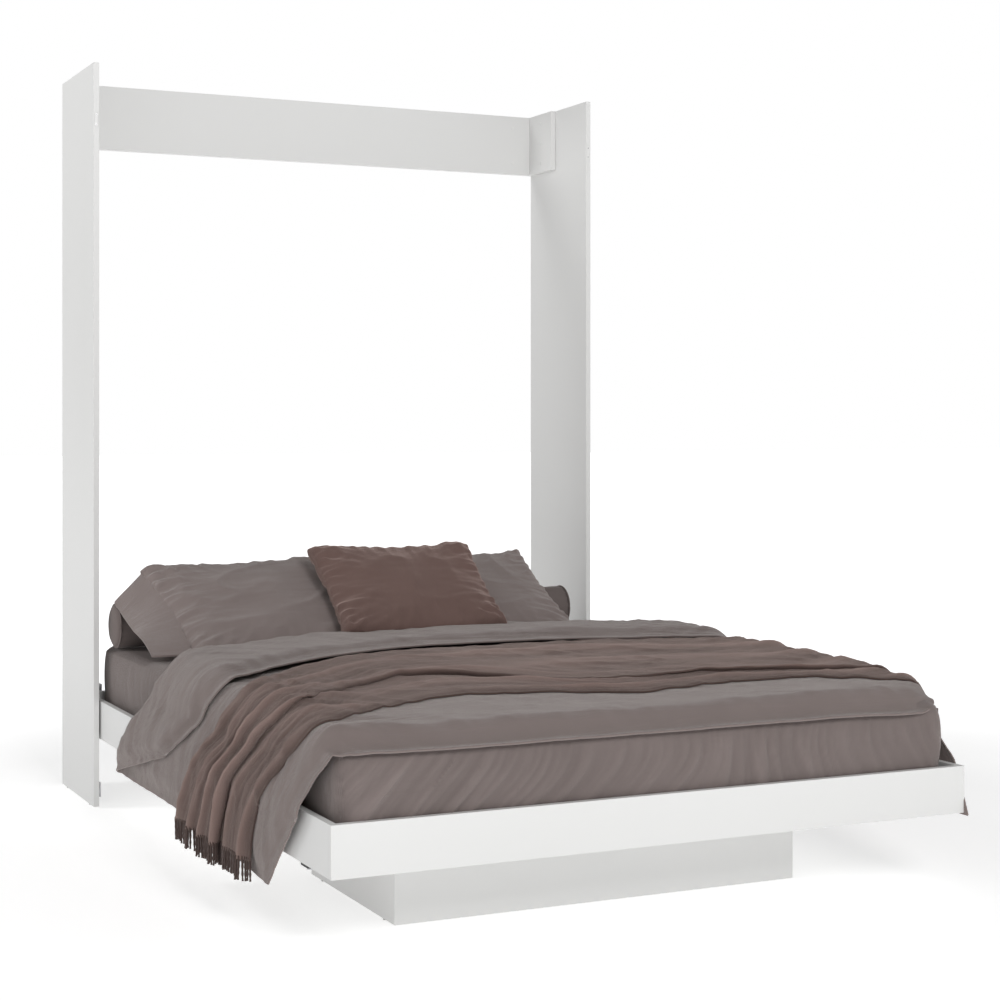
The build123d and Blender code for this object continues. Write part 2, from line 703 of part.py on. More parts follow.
with BuildPart() as hollow:
    block(
        (-MATTRESS_HALF - SHEET_GAP, MATTRESS_HALF + SHEET_GAP),
        (MATTRESS_HEAD_D - SHEET_GAP, MATTRESS_FOOT_D + SHEET_GAP),
        (MATTRESS_LOW, MATTRESS_HIGH + SHEET_GAP),
    )
    fillet(hollow.edges().filter_by(Axis.Z), MATTRESS_EDGE + SHEET_GAP)
    fillet(hollow.faces().sort_by(Axis.Z)[-1].edges(), MATTRESS_EDGE + SHEET_GAP)

with BuildPart() as fitted_sheet:
    block(
        (-MATTRESS_HALF - OUT, MATTRESS_HALF + OUT),
        (MATTRESS_HEAD_D - OUT, MATTRESS_FOOT_D + OUT),
        (SKIRT_LOW, MATTRESS_HIGH + OUT),
    )
    fillet(fitted_sheet.edges().filter_by(Axis.Z), MATTRESS_EDGE + OUT)
    fillet(fitted_sheet.faces().sort_by(Axis.Z)[-1].edges(), MATTRESS_EDGE + OUT)
    add(hollow.part, mode=Mode.SUBTRACT)
save(fitted_sheet.part, "fitted_sheet")

with BuildPart() as mattress_strap:
    block((-STRAP_OUT, STRAP_OUT), STRAP_D, (STRAP_END_Z, STRAP_HIGH))
    block((-STRAP_IN, STRAP_IN), STRAP_D, (STRAP_END_Z, STRAP_LOW), Mode.SUBTRACT)
save(mattress_strap.part, "mattress_strap")

with BuildPart() as strap_anchors:
    for _, s in SIDES:
        block(
            (s * STRAP_OUT, s * TRAY_IN),
            (STRAP_D[0] - STRAP_ANCHOR_SPREAD, STRAP_D[1] + STRAP_ANCHOR_SPREAD),
            STRAP_ANCHOR_Z,
        )
save(strap_anchors.part, "strap_anchors")

with BuildPart() as duvet:
    block((-DUVET_HALF, DUVET_HALF), DUVET_D, DUVET_Z)
    for _, s in SIDES:
        block((s * (STRAP_OUT + DUVET_CLEAR), s * DUVET_HALF), DROP_D, (DROP_STEP_Z[0], DUVET_Z[1]))
        block((s * (STRAP_OUT + DUVET_CLEAR), s * DROP_OUT), DROP_D, DROP_STEP_Z)
        block((s * DROP_IN, s * DROP_OUT), DROP_D, (DROP_LOW, DROP_STEP_Z[1]))
save(duvet.part, "duvet")

with BuildPart() as throw:
    with BuildSketch(Plane.XY.offset(THROW_Z)):
        with BuildLine():
            Polyline([(x, WALL_Y - d) for x, d in THROW_OUTLINE], close=True)
        make_face()
    extrude(amount=THROW_THICK)
save(throw.part, "throw")

with BuildPart() as bolster:
    rod_x(BOLSTER_ENDS, BOLSTER_D, BOLSTER_Z, BOLSTER_R)
    fillet(bolster.edges().filter_by(GeomType.CIRCLE), BOLSTER_SOFT)
save(bolster.part, "bolster")

for name, x0, x1, (low, high), bulge in PADS:
    run, rise = low[0] - high[0], high[1] - low[1]
    span = math.hypot(run, rise)
    mid = ((low[0] + high[0]) / 2, (low[1] + high[1]) / 2)
    lean = (rise / span * bulge, run / span * bulge)
    with BuildPart() as pad:
        with BuildSketch(Plane.YZ.offset(x0)):
            with BuildLine():
                ThreePointArc(
                    (WALL_Y - low[0], low[1]),
                    (WALL_Y - mid[0] - lean[0], mid[1] + lean[1]),
                    (WALL_Y - high[0], high[1]),
                )
                ThreePointArc(
                    (WALL_Y - high[0], high[1]),
                    (WALL_Y - mid[0] + lean[0], mid[1] - lean[1]),
                    (WALL_Y - low[0], low[1]),
                )
            make_face()
        extrude(amount=x1 - x0)
    save(pad.part, name)
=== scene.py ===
"""Visual model of a fold-down wall bed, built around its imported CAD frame."""

import json
import logging
import math
from dataclasses import dataclass, field
from enum import Enum
from typing import Callable, Iterable, Sequence

import bmesh
import bpy
from mathutils import Matrix, Vector, noise


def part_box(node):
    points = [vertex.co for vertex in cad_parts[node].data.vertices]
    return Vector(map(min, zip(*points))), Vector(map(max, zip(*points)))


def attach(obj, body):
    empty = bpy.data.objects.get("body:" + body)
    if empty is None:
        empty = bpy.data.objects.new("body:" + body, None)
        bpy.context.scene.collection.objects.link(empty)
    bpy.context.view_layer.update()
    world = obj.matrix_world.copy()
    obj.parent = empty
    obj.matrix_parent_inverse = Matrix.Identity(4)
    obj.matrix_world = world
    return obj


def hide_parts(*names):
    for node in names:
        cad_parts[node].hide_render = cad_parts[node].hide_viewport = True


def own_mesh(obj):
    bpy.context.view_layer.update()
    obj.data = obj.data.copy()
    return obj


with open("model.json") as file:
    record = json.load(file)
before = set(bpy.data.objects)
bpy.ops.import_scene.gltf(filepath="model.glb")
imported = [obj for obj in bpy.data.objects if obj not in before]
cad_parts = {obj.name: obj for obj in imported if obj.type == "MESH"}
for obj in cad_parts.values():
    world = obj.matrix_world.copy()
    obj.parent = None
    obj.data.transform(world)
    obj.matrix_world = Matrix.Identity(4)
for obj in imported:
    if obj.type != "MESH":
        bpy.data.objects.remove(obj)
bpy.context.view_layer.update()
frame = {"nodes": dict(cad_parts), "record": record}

log = logging.getLogger("wall_bed")

WALL_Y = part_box("side_panel_left")[1].y
BED = "bed"
CABINET = "cabinet"
# Nodes drawn in another finish than their material slot: these screw heads are board-coloured.
COVERED = {"cheek_screws": "board"}


class Side(Enum):
    """Left and right as seen from the foot of the bed."""

    LEFT = -1
    RIGHT = 1

    @property
    def word(self) -> str:
        """The side's lower-case name."""
        return self.name.lower()


# ---------------------------------------------------------------- small maths


def ease(t: float) -> float:
    """Smooth step of t held between 0 and 1."""
    t = min(1.0, max(0.0, t))
    return t * t * (3.0 - 2.0 * t)


def ripple(x: float, y: float, z: float = 0.0) -> float:
    """Gradient noise between about -1 and 1."""
    return noise.noise(Vector((x, y, z)))


def ridge(x: float, y: float, z: float = 0.0) -> float:
    """Noise with sharp crests, between 0 and 1."""
    return (1.0 - min(1.0, 2.2 * abs(ripple(x, y, z)))) ** 2


class Line:
    """A smooth curve through a few knots, read at any abscissa."""

    def __init__(self, *knots: tuple[float, float]) -> None:
        """Keep the knots.

        Args:
            knots: Pairs of abscissa and value, in rising order.
        """
        self.x = [k[0] for k in knots]
        self.y = [k[1] for k in knots]

    def _slope(self, i: int) -> float:
        """Slope at a knot from its neighbours."""
        a, b = max(0, i - 1), min(len(self.x) - 1, i + 1)
        return (self.y[b] - self.y[a]) / (self.x[b] - self.x[a])

    def at(self, x: float) -> float:
        """Value at an abscissa, held level past the ends."""
        if x <= self.x[0]:
            return self.y[0]
        if x >= self.x[-1]:
            return self.y[-1]
        i = 0
        while x > self.x[i + 1]:
            i += 1
        h = self.x[i + 1] - self.x[i]
        t = (x - self.x[i]) / h
        m0, m1 = self._slope(i) * h, self._slope(i + 1) * h
        return (
            (2 * t**3 - 3 * t**2 + 1) * self.y[i]
            + (t**3 - 2 * t**2 + t) * m0
            + (-2 * t**3 + 3 * t**2) * self.y[i + 1]
            + (t**3 - t**2) * m1
        )


# ---------------------------------------------------------------- mesh helpers


def new_piece(name: str, bm: bmesh.types.BMesh, smooth: bool = True) -> bpy.types.Object:
    """Turn a bmesh into an object at the origin.

    Args:
        name: Piece name.
        bm: Finished bmesh, which is freed.
        smooth: Whether its faces shade smooth.

    Returns:
        The new object, linked to the scene.
    """
    for face in bm.faces:
        face.smooth = smooth
    mesh = bpy.data.meshes.new(name)
    bm.to_mesh(mesh)
    bm.free()
    piece = bpy.data.objects.new(name, mesh)
    bpy.context.scene.collection.objects.link(piece)
    return piece


def settle(piece: bpy.types.Object) -> None:
    """Apply every modifier of a piece to its mesh."""
    depsgraph = bpy.context.evaluated_depsgraph_get()
    mesh = bpy.data.meshes.new_from_object(piece.evaluated_get(depsgraph))
    piece.modifiers.clear()
    piece.data = mesh


def dress(
    piece: bpy.types.Object,
    material: bpy.types.Material,
    body: str,
    replaces: Iterable[str] = (),
) -> bpy.types.Object:
    """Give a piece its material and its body."""
    piece.data.materials.clear()
    piece.data.materials.append(material)
    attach(piece, body)
    if replaces:
        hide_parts(*replaces)
    log.info("%s: %d faces on %s", piece.name, len(piece.data.polygons), body)
    return piece


def shell_from_grid(
    name: str,
    columns: int,
    rows: int,
    outer: Callable[[float, float], Vector],
    inner: Callable[[float, float], Vector],
    cloth: tuple[float, float],
    fold: Callable[[float, float], float] | None = None,
) -> bpy.types.Object:
    """Make a closed cloth shell from a grid and its offset copy.

    Args:
        name: Piece name.
        columns: Faces along the first direction.
        rows: Faces along the second direction.
        outer: Gives the outside point for two shares from 0 to 1.
        inner: Gives the inside point for the same shares.
        cloth: The cloth's size in metres along both directions, for its weave.
        fold: Gives how high a point stands on a fold, from 0 in a valley to 1 on a crest.

    Returns:
        The closed shell.
    """
    bm = bmesh.new()
    uv = bm.loops.layers.uv.new("cloth")
    # The fold attribute drives painted shade in fold valleys and a painted highlight on crests, in the cloths
    # that use it.
    crest = bm.verts.layers.float.new("fold")
    bmesh.ops.create_grid(bm, x_segments=columns, y_segments=rows, size=0.5)
    share = {v: (v.co.x + 0.5, v.co.y + 0.5) for v in bm.verts}
    for face in bm.faces:
        for loop in face.loops:
            a, b = share[loop.vert]
            loop[uv].uv = (a * cloth[0], b * cloth[1])
    first = list(bm.verts)
    grown = bmesh.ops.extrude_face_region(bm, geom=list(bm.faces), use_keep_orig=True)
    twins = [e for e in grown["geom"] if isinstance(e, bmesh.types.BMVert)]
    places = {v: (v.co.x + 0.5, v.co.y + 0.5) for v in twins} | share
    for v in twins:
        v.co = outer(*places[v])
    for v in first:
        v.co = inner(*share[v])
    bmesh.ops.recalc_face_normals(bm, faces=list(bm.faces))
    moved = set(twins)
    rim = [f for f in bm.faces if 0 < sum(v in moved for v in f.verts) < len(f.verts)]
    for edge in {e for f in rim for e in f.edges}:
        edge.smooth = (edge.verts[0] in moved) != (edge.verts[1] in moved)
    for v, (a, b) in places.items():
        v[crest] = fold(a, b) if fold else 1.0
    return new_piece(name, bm)


def tube(
    bm: bmesh.types.BMesh, path: Sequence[Vector], radius: Callable[[float], float], sides: int = 6
) -> None:
    """Sweep a round bar along a path by extruding one ring.

    Args:
        bm: The bmesh that receives the bar.
        path: Points along its centre.
        radius: Radius for the share of the way along.
        sides: Corners of the ring.
    """
    last = len(path) - 1
    ring: list[bmesh.types.BMVert] = []
    edges: list[bmesh.types.BMEdge] = []
    for i, point in enumerate(path):
        ahead = (path[min(last, i + 1)] - path[max(0, i - 1)]).normalized()
        turn = ahead.to_track_quat("Z", "Y").to_matrix().to_4x4()
        place = Matrix.Translation(point) @ turn
        if i == 0:
            made = bmesh.ops.create_circle(
                bm, cap_ends=True, segments=sides, radius=radius(0.0), matrix=place
            )
            ring = made["verts"]
            edges = list({e for v in ring for e in v.link_edges})
            before = place
            scale = radius(0.0)
            continue
        grown = bmesh.ops.extrude_edge_only(bm, edges=edges)
        ring = [e for e in grown["geom"] if isinstance(e, bmesh.types.BMVert)]
        edges = [
            e
            for e in grown["geom"]
            if isinstance(e, bmesh.types.BMEdge) and e.verts[0] in ring and e.verts[1] in ring
        ]
        size = radius(i / last)
        step = place @ Matrix.Scale(size / scale, 4) @ before.inverted()
        bmesh.ops.transform(bm, matrix=step, verts=ring)
        before, scale = place, size
    bmesh.ops.contextual_create(bm, geom=edges)


def inflate(
    piece: bpy.types.Object,
    pressure: float,
    frames: int,
    cap: float,
    stiffness: float,
    bend: float,
    held: Sequence[int],
) -> None:
    """Swell a closed cloth shape with the cloth solver and keep the result.

    Args:
        piece: Closed mesh at the origin.
        pressure: Pressure inside it.
        frames: Solver frames.
        cap: Furthest that a point may move, in metres.
        stiffness: Resistance to stretching.
        bend: Resistance to bending.
        held: Points that stay where they are.
    """
    start = [v.co.copy() for v in piece.data.vertices]
    cloth = piece.modifiers.new("cloth", "CLOTH")
    settings = cloth.settings
    settings.quality = 6
    settings.mass = 0.2
    settings.air_damping = 2.0
    settings.tension_stiffness = stiffness
    settings.compression_stiffness = stiffness
    settings.shear_stiffness = stiffness / 2
    settings.bending_stiffness = bend
    settings.use_pressure = True
    settings.uniform_pressure_force = pressure
    settings.effector_weights.gravity = 0.0
    cloth.collision_settings.use_collision = False
    if held:
        pins = piece.vertex_groups.new(name="seam")
        pins.add(list(held), 1.0, "REPLACE")
        settings.vertex_group_mass = "seam"
    cloth.point_cache.frame_start = 1
    cloth.point_cache.frame_end = frames
    scene = bpy.context.scene
    for number in range(1, frames + 1):
        scene.frame_set(number)
    settle(piece)
    scene.frame_set(1)
    for vertex, origin in zip(piece.data.vertices, start):
        step = vertex.co - origin
        if step.length > cap:
            vertex.co = origin + step * (cap / step.length)


def subdivide(piece: bpy.types.Object, levels: int = 1) -> None:
    """Add and apply a smooth subdivision."""
    modifier = piece.modifiers.new("subdivision", "SUBSURF")
    modifier.levels = levels
    modifier.render_levels = levels
    settle(piece)
    for polygon in piece.data.polygons:
        polygon.use_smooth = True


# ---------------------------------------------------------------- shader groups


class Groups:
    """Shader node groups that several finishes share."""

    def __init__(self) -> None:
        """Build every group once."""
        self.weave = self._weave()
        self.mottle = self._mottle()
        self.creases = self._creases()

    @staticmethod
    def _start(
        name: str, inputs: Sequence[tuple[str, str, float]], outputs: Sequence[tuple[str, str]]
    ) -> bpy.types.ShaderNodeTree:
        """Make an empty group with its sockets."""
        tree = bpy.data.node_groups.new(name, "ShaderNodeTree")
        for socket, kind, value in inputs:
            made = tree.interface.new_socket(name=socket, in_out="INPUT", socket_type=kind)
            if kind == "NodeSocketFloat":
                made.default_value = value
        for socket, kind in outputs:
            tree.interface.new_socket(name=socket, in_out="OUTPUT", socket_type=kind)
        return tree

    def _weave(self) -> bpy.types.ShaderNodeTree:
        """Over-and-under threads: a height from a flat cloth position."""
        tree = self._start(
            "cloth_weave",
            [("Vector", "NodeSocketVector", 0.0), ("Threads per metre", "NodeSocketFloat", 1500.0)],
            [("Height", "NodeSocketFloat")],
        )
        nodes, links = tree.nodes, tree.links
        source, out = nodes.new("NodeGroupInput"), nodes.new("NodeGroupOutput")
        scale = nodes.new("ShaderNodeVectorMath")
        scale.operation = "SCALE"
        links.new(source.outputs["Vector"], scale.inputs[0])
        links.new(source.outputs["Threads per metre"], scale.inputs["Scale"])
        split = nodes.new("ShaderNodeSeparateXYZ")
        links.new(scale.outputs[0], split.inputs[0])
        waves = []
        for axis in ("X", "Y"):
            turn = nodes.new("ShaderNodeMath")
            turn.operation = "MULTIPLY"
            turn.inputs[1].default_value = math.pi
            links.new(split.outputs[axis], turn.inputs[0])
            sine = nodes.new("ShaderNodeMath")
            sine.operation = "SINE"
            links.new(turn.outputs[0], sine.inputs[0])
            waves.append(sine)
        product = nodes.new("ShaderNodeMath")
        product.operation = "MULTIPLY_ADD"
        product.inputs[2].default_value = 0.5
        links.new(waves[0].outputs[0], product.inputs[0])
        links.new(waves[1].outputs[0], product.inputs[1])
        links.new(product.outputs[0], out.inputs["Height"])
        return tree

    def _mottle(self) -> bpy.types.ShaderNodeTree:
        """Two scales of soft variation, as a mask and a height."""
        tree = self._start(
            "soft_mottle",
            [
                ("Vector", "NodeSocketVector", 0.0),
                ("Broad", "NodeSocketFloat", 4.0),
                ("Fine", "NodeSocketFloat", 300.0),
            ],
            [("Broad mask", "NodeSocketFloat"), ("Fine mask", "NodeSocketFloat")],
        )
        nodes, links = tree.nodes, tree.links
        source, out = nodes.new("NodeGroupInput"), nodes.new("NodeGroupOutput")
        for word, detail in (("Broad", 3.0), ("Fine", 2.0)):
            cloud = nodes.new("ShaderNodeTexNoise")
            cloud.inputs["Detail"].default_value = detail
            links.new(source.outputs["Vector"], cloud.inputs["Vector"])
            links.new(source.outputs[word], cloud.inputs["Scale"])
            links.new(cloud.outputs["Fac"], out.inputs[word + " mask"])
        return tree


    def _creases(self) -> bpy.types.ShaderNodeTree:
        """Long soft creases that run over the bed's width, broken by a slow bend."""
        tree = self._start(
            "soft_creases", [("Vector", "NodeSocketVector", 0.0)], [("Height", "NodeSocketFloat")]
        )
        nodes, links = tree.nodes, tree.links
        source, out = nodes.new("NodeGroupInput"), nodes.new("NodeGroupOutput")
        total: bpy.types.NodeSocket | None = None
        for turn, scale, share in ((0.25, (2.6, 15.0, 3.0), 0.6), (-0.75, (3.5, 11.0, 3.0), 0.4)):
            stretch = nodes.new("ShaderNodeMapping")
            stretch.inputs["Rotation"].default_value = (0.0, 0.0, turn)
            stretch.inputs["Scale"].default_value = scale
            links.new(source.outputs["Vector"], stretch.inputs["Vector"])
            noise = nodes.new("ShaderNodeTexNoise")
            noise.inputs["Scale"].default_value = 1.0
            noise.inputs["Detail"].default_value = 1.5
            noise.inputs["Distortion"].default_value = 0.6
            links.new(stretch.outputs[0], noise.inputs["Vector"])
            fold = nodes.new("ShaderNodeMath")
            fold.operation = "PINGPONG"
            fold.inputs[1].default_value = 0.5
            links.new(noise.outputs["Fac"], fold.inputs[0])
            part = nodes.new("ShaderNodeMath")
            part.operation = "MULTIPLY"
            part.inputs[1].default_value = share * 2.0
            links.new(fold.outputs[0], part.inputs[0])
            if total is None:
                total = part.outputs[0]
            else:
                both = nodes.new("ShaderNodeMath")
                links.new(total, both.inputs[0])
                links.new(part.outputs[0], both.inputs[1])
                total = both.outputs[0]
        links.new(total, out.inputs["Height"])
        return tree


Colour = tuple[float, float, float]


def _principled(name: str) -> tuple[bpy.types.Material, bpy.types.Node]:
    """A new material and its Principled shader."""
    material = bpy.data.materials.new(name)
    material.use_nodes = True
    return material, material.node_tree.nodes["Principled BSDF"]


def _group(material: bpy.types.Material, tree: bpy.types.ShaderNodeTree) -> bpy.types.Node:
    """Place a shared group in a material."""
    node = material.node_tree.nodes.new("ShaderNodeGroup")
    node.node_tree = tree
    return node


def _coordinates(material: bpy.types.Material, uv: bool) -> bpy.types.NodeSocket:
    """The piece's own UV map, or its Object coordinates."""
    nodes = material.node_tree.nodes
    if uv:
        node = nodes.new("ShaderNodeUVMap")
        node.uv_map = "cloth"
        return node.outputs["UV"]
    return nodes.new("ShaderNodeTexCoord").outputs["Object"]


def _mix(
    material: bpy.types.Material, factor: bpy.types.NodeSocket, dark: Colour, light: Colour
) -> bpy.types.NodeSocket:
    """Blend two colours by a mask."""
    node = material.node_tree.nodes.new("ShaderNodeMix")
    node.data_type = "RGBA"
    node.inputs["A"].default_value = (*dark, 1.0)
    node.inputs["B"].default_value = (*light, 1.0)
    material.node_tree.links.new(factor, node.inputs["Factor"])
    return node.outputs["Result"]


def _range(
    material: bpy.types.Material, value: bpy.types.NodeSocket, low: float, high: float
) -> bpy.types.NodeSocket:
    """Map a mask from 0..1 onto low..high."""
    node = material.node_tree.nodes.new("ShaderNodeMapRange")
    node.inputs["From Min"].default_value = 0.3
    node.inputs["From Max"].default_value = 0.7
    node.inputs["To Min"].default_value = low
    node.inputs["To Max"].default_value = high
    material.node_tree.links.new(value, node.inputs["Value"])
    return node.outputs["Result"]


def _bump(
    material: bpy.types.Material,
    height: bpy.types.NodeSocket,
    distance: float,
    strength: float,
    before: bpy.types.NodeSocket | None = None,
) -> bpy.types.NodeSocket:
    """Turn a height into a normal, after an earlier one if given."""
    node = material.node_tree.nodes.new("ShaderNodeBump")
    node.inputs["Distance"].default_value = distance
    node.inputs["Strength"].default_value = strength
    material.node_tree.links.new(height, node.inputs["Height"])
    if before is not None:
        material.node_tree.links.new(before, node.inputs["Normal"])
    return node.outputs["Normal"]


def _paint_fold_shade(
    material: bpy.types.Material, colour: bpy.types.NodeSocket, depth: float
) -> bpy.types.NodeSocket:
    """Paint shade into the valleys between folds and a painted highlight on the crests, by the cloth's own
    fold attribute.
    """
    nodes, links = material.node_tree.nodes, material.node_tree.links
    fold = nodes.new("ShaderNodeAttribute")
    fold.attribute_name = "fold"
    shade = nodes.new("ShaderNodeMapRange")
    shade.clamp = False
    shade.inputs["To Min"].default_value = 1.0 - depth
    shade.inputs["To Max"].default_value = 1.0 + depth * 0.35
    links.new(fold.outputs["Fac"], shade.inputs["Value"])
    scale = nodes.new("ShaderNodeVectorMath")
    scale.operation = "SCALE"
    links.new(colour, scale.inputs[0])
    links.new(shade.outputs["Result"], scale.inputs["Scale"])
    return scale.outputs[0]


@dataclass(frozen=True)
class Cloth:
    """A woven fabric finish."""

    name: str
    dark: Colour
    light: Colour
    threads: float = 1600.0
    roughness: float = 0.88
    sheen: float = 0.25
    sheen_tint: Colour = (0.9, 0.85, 0.83)
    weave: float = 0.5
    nap: float = 0.35
    uv: bool = True
    # Depth of the painted shade in fold valleys; crests get a smaller painted highlight.
    valley: float = 0.0
    creases: float = 0.0

    def build(self, groups: Groups) -> bpy.types.Material:
        """Make the material.

        Args:
            groups: The shared shader groups.

        Returns:
            The finished material.
        """
        material, shader = _principled(self.name)
        links = material.node_tree.links
        where = _coordinates(material, self.uv)
        mottle = _group(material, groups.mottle)
        mottle.inputs["Broad"].default_value = 5.0
        mottle.inputs["Fine"].default_value = 420.0
        links.new(where, mottle.inputs["Vector"])
        weave = _group(material, groups.weave)
        weave.inputs["Threads per metre"].default_value = self.threads
        links.new(where, weave.inputs["Vector"])
        both = material.node_tree.nodes.new("ShaderNodeMath")
        both.operation = "ADD"
        links.new(mottle.outputs["Broad mask"], both.inputs[0])
        links.new(_range(material, mottle.outputs["Fine mask"], -0.16, 0.16), both.inputs[1])
        colour = _mix(material, both.outputs[0], self.dark, self.light)
        # Painted shade in the fold valleys and a painted highlight on the crests.
        if self.valley:
            colour = _paint_fold_shade(material, colour, self.valley)
        links.new(colour, shader.inputs["Base Color"])
        links.new(
            _range(material, mottle.outputs["Broad mask"], self.roughness - 0.05, self.roughness + 0.05),
            shader.inputs["Roughness"],
        )
        normal = _bump(material, weave.outputs["Height"], 0.0004, self.weave)
        normal = _bump(material, mottle.outputs["Fine mask"], 0.0012, self.nap, normal)
        if self.creases:
            lines = _group(material, groups.creases)
            links.new(where, lines.inputs["Vector"])
            normal = _bump(material, lines.outputs["Height"], self.creases, 1.0, normal)
        links.new(normal, shader.inputs["Normal"])
        shader.inputs["Sheen Weight"].default_value = self.sheen
        shader.inputs["Sheen Roughness"].default_value = 0.35
        shader.inputs["Sheen Tint"].default_value = (*self.sheen_tint, 1.0)
        shader.inputs["Specular IOR Level"].default_value = 0.25
        return material


def _mottled(
    plan: "Melamine | Metal", groups: Groups, broad: float, fine: float, spread: float
) -> tuple[bpy.types.Material, bpy.types.ShaderNode, bpy.types.ShaderNode]:
    """A surface whose colour and roughness wander a little.

    Args:
        plan: The finish, with its two tones and its roughness.
        groups: The shared node groups.
        broad: Scale of the patches of tone.
        fine: Scale of the grain.
        spread: How far the roughness goes to either side of the finish's own.

    Returns:
        The material, its shader and its mottle node.
    """
    material, shader = _principled(plan.name)
    links = material.node_tree.links
    mottle = _group(material, groups.mottle)
    mottle.inputs["Broad"].default_value = broad
    mottle.inputs["Fine"].default_value = fine
    links.new(_coordinates(material, False), mottle.inputs["Vector"])
    tone = _mix(material, mottle.outputs["Broad mask"], plan.dark, plan.light)
    links.new(tone, shader.inputs["Base Color"])
    grain = _range(material, mottle.outputs["Fine mask"], plan.roughness - spread, plan.roughness + spread)
    links.new(grain, shader.inputs["Roughness"])
    return material, shader, mottle


@dataclass(frozen=True)
class Melamine:
    """A pale, faintly embossed board surface."""

    name: str
    dark: Colour
    light: Colour
    roughness: float = 0.42

    def build(self, groups: Groups) -> bpy.types.Material:
        """Make the material from the shared groups."""
        material, shader, mottle = _mottled(self, groups, broad=1.6, fine=650.0, spread=0.06)
        links = material.node_tree.links
        links.new(_bump(material, mottle.outputs["Fine mask"], 0.0002, 0.25), shader.inputs["Normal"])
        shader.inputs["Specular IOR Level"].default_value = 0.4
        return material


@dataclass(frozen=True)
class Metal:
    """A plated, powder-coated or bare metal."""

    name: str
    dark: Colour
    light: Colour
    roughness: float = 0.35
    metallic: float = 1.0
    grain: float = 240.0

    def build(self, groups: Groups) -> bpy.types.Material:
        """Make the material from the shared groups."""
        material, shader, mottle = _mottled(self, groups, broad=30.0, fine=self.grain, spread=0.1)
        links = material.node_tree.links
        links.new(_bump(material, mottle.outputs["Fine mask"], 0.0001, 0.3), shader.inputs["Normal"])
        shader.inputs["Metallic"].default_value = self.metallic
        return material


@dataclass(frozen=True)
class Timber:
    """Bent laminated slat wood with a fine grain along X."""

    name: str
    dark: Colour
    light: Colour

    def build(self, groups: Groups) -> bpy.types.Material:
        """Make the material from the shared groups."""
        material, shader = _principled(self.name)
        nodes, links = material.node_tree.nodes, material.node_tree.links
        stretch = nodes.new("ShaderNodeMapping")
        stretch.inputs["Scale"].default_value = (0.06, 1.0, 1.0)
        links.new(_coordinates(material, False), stretch.inputs["Vector"])
        mottle = _group(material, groups.mottle)
        mottle.inputs["Broad"].default_value = 40.0
        mottle.inputs["Fine"].default_value = 900.0
        links.new(stretch.outputs[0], mottle.inputs["Vector"])
        links.new(
            _mix(material, _range(material, mottle.outputs["Broad mask"], 0.0, 1.0), self.dark, self.light),
            shader.inputs["Base Color"],
        )
        links.new(_range(material, mottle.outputs["Fine mask"], 0.4, 0.6), shader.inputs["Roughness"])
        links.new(_bump(material, mottle.outputs["Fine mask"], 0.0003, 0.3), shader.inputs["Normal"])
        return material


class Finishes:
    """Every material of the bed, by the record's slot name."""

    def __init__(self) -> None:
        """Build the groups and the materials."""
        groups = Groups()
        taupe_dark, taupe_light = (0.190, 0.153, 0.144), (0.246, 0.203, 0.192)
        plans = {
            "board": Melamine("board", (0.735, 0.735, 0.725), (0.765, 0.765, 0.757)),
            "base_board": Melamine("base_board", (0.77, 0.77, 0.76), (0.80, 0.80, 0.795), 0.5),
            "beech": Timber("beech", (0.52, 0.35, 0.20), (0.62, 0.45, 0.28)),
            "slat_ply": Timber("slat_ply", (0.60, 0.42, 0.25), (0.74, 0.57, 0.38)),
            "steel": Metal("steel", (0.42, 0.42, 0.43), (0.58, 0.58, 0.60), 0.34),
            "grey_tube": Metal("grey_tube", (0.16, 0.165, 0.17), (0.20, 0.205, 0.21), 0.5, 0.0, 500.0),
            "spring_steel": Metal("spring_steel", (0.30, 0.30, 0.31), (0.45, 0.45, 0.46), 0.4),
            "white_plastic": Metal("white_plastic", (0.74, 0.74, 0.73), (0.80, 0.80, 0.79), 0.4, 0.0, 300.0),
            "dark_plastic": Metal(
                "dark_plastic", (0.010, 0.010, 0.011), (0.018, 0.018, 0.019), 0.5, 0.0, 300.0
            ),
            "felt": Cloth("felt", (0.22, 0.22, 0.21), (0.30, 0.30, 0.29), 500.0, uv=False),
            "mattress_ticking": Cloth("mattress_ticking", (0.62, 0.60, 0.56), (0.74, 0.72, 0.68), 900.0),
            "sheet_cloth": Cloth(
                "sheet_cloth",
                (0.165, 0.135, 0.127),
                (0.212, 0.175, 0.167),
                sheen=0.45,
                # Painted shade in the sheet's wrinkle valleys.
                valley=0.3,
                creases=0.003,
            ),
            "strap_web": Cloth("strap_web", (0.012, 0.012, 0.013), (0.022, 0.022, 0.024), 500.0, uv=False),
            "duvet_cloth": Cloth("duvet_cloth", taupe_dark, taupe_light, sheen=0.6, creases=0.0045),
            "throw_cloth": Cloth(
                "throw_cloth",
                (0.206, 0.140, 0.123),
                (0.272, 0.192, 0.171),
                700.0,
                0.92,
                0.45,
                (0.92, 0.76, 0.70),
                0.8,
                0.8,
                # Painted shade in the throw's fold valleys.
                valley=0.55,
                creases=0.004,
            ),
            "fringe_yarn": Cloth(
                "fringe_yarn", (0.060, 0.040, 0.035), (0.110, 0.078, 0.070), 300.0, 0.9, 0.3, uv=False
            ),
            "pillow_cloth": Cloth(
                "pillow_cloth", (0.236, 0.193, 0.182), (0.296, 0.244, 0.233), sheen=0.5, creases=0.003
            ),
            "bolster_cloth": Cloth("bolster_cloth", (0.150, 0.122, 0.115), (0.190, 0.157, 0.149)),
            "velvet": Cloth(
                "velvet",
                (0.152, 0.096, 0.083),
                (0.200, 0.129, 0.113),
                900.0,
                0.8,
                1.0,
                (0.95, 0.74, 0.68),
                0.3,
                0.5,
            ),
        }
        self.made = {slot: plan.build(groups) for slot, plan in plans.items()}

    def __getitem__(self, slot: str) -> bpy.types.Material:
        """The material of a slot."""
        return self.made[slot]


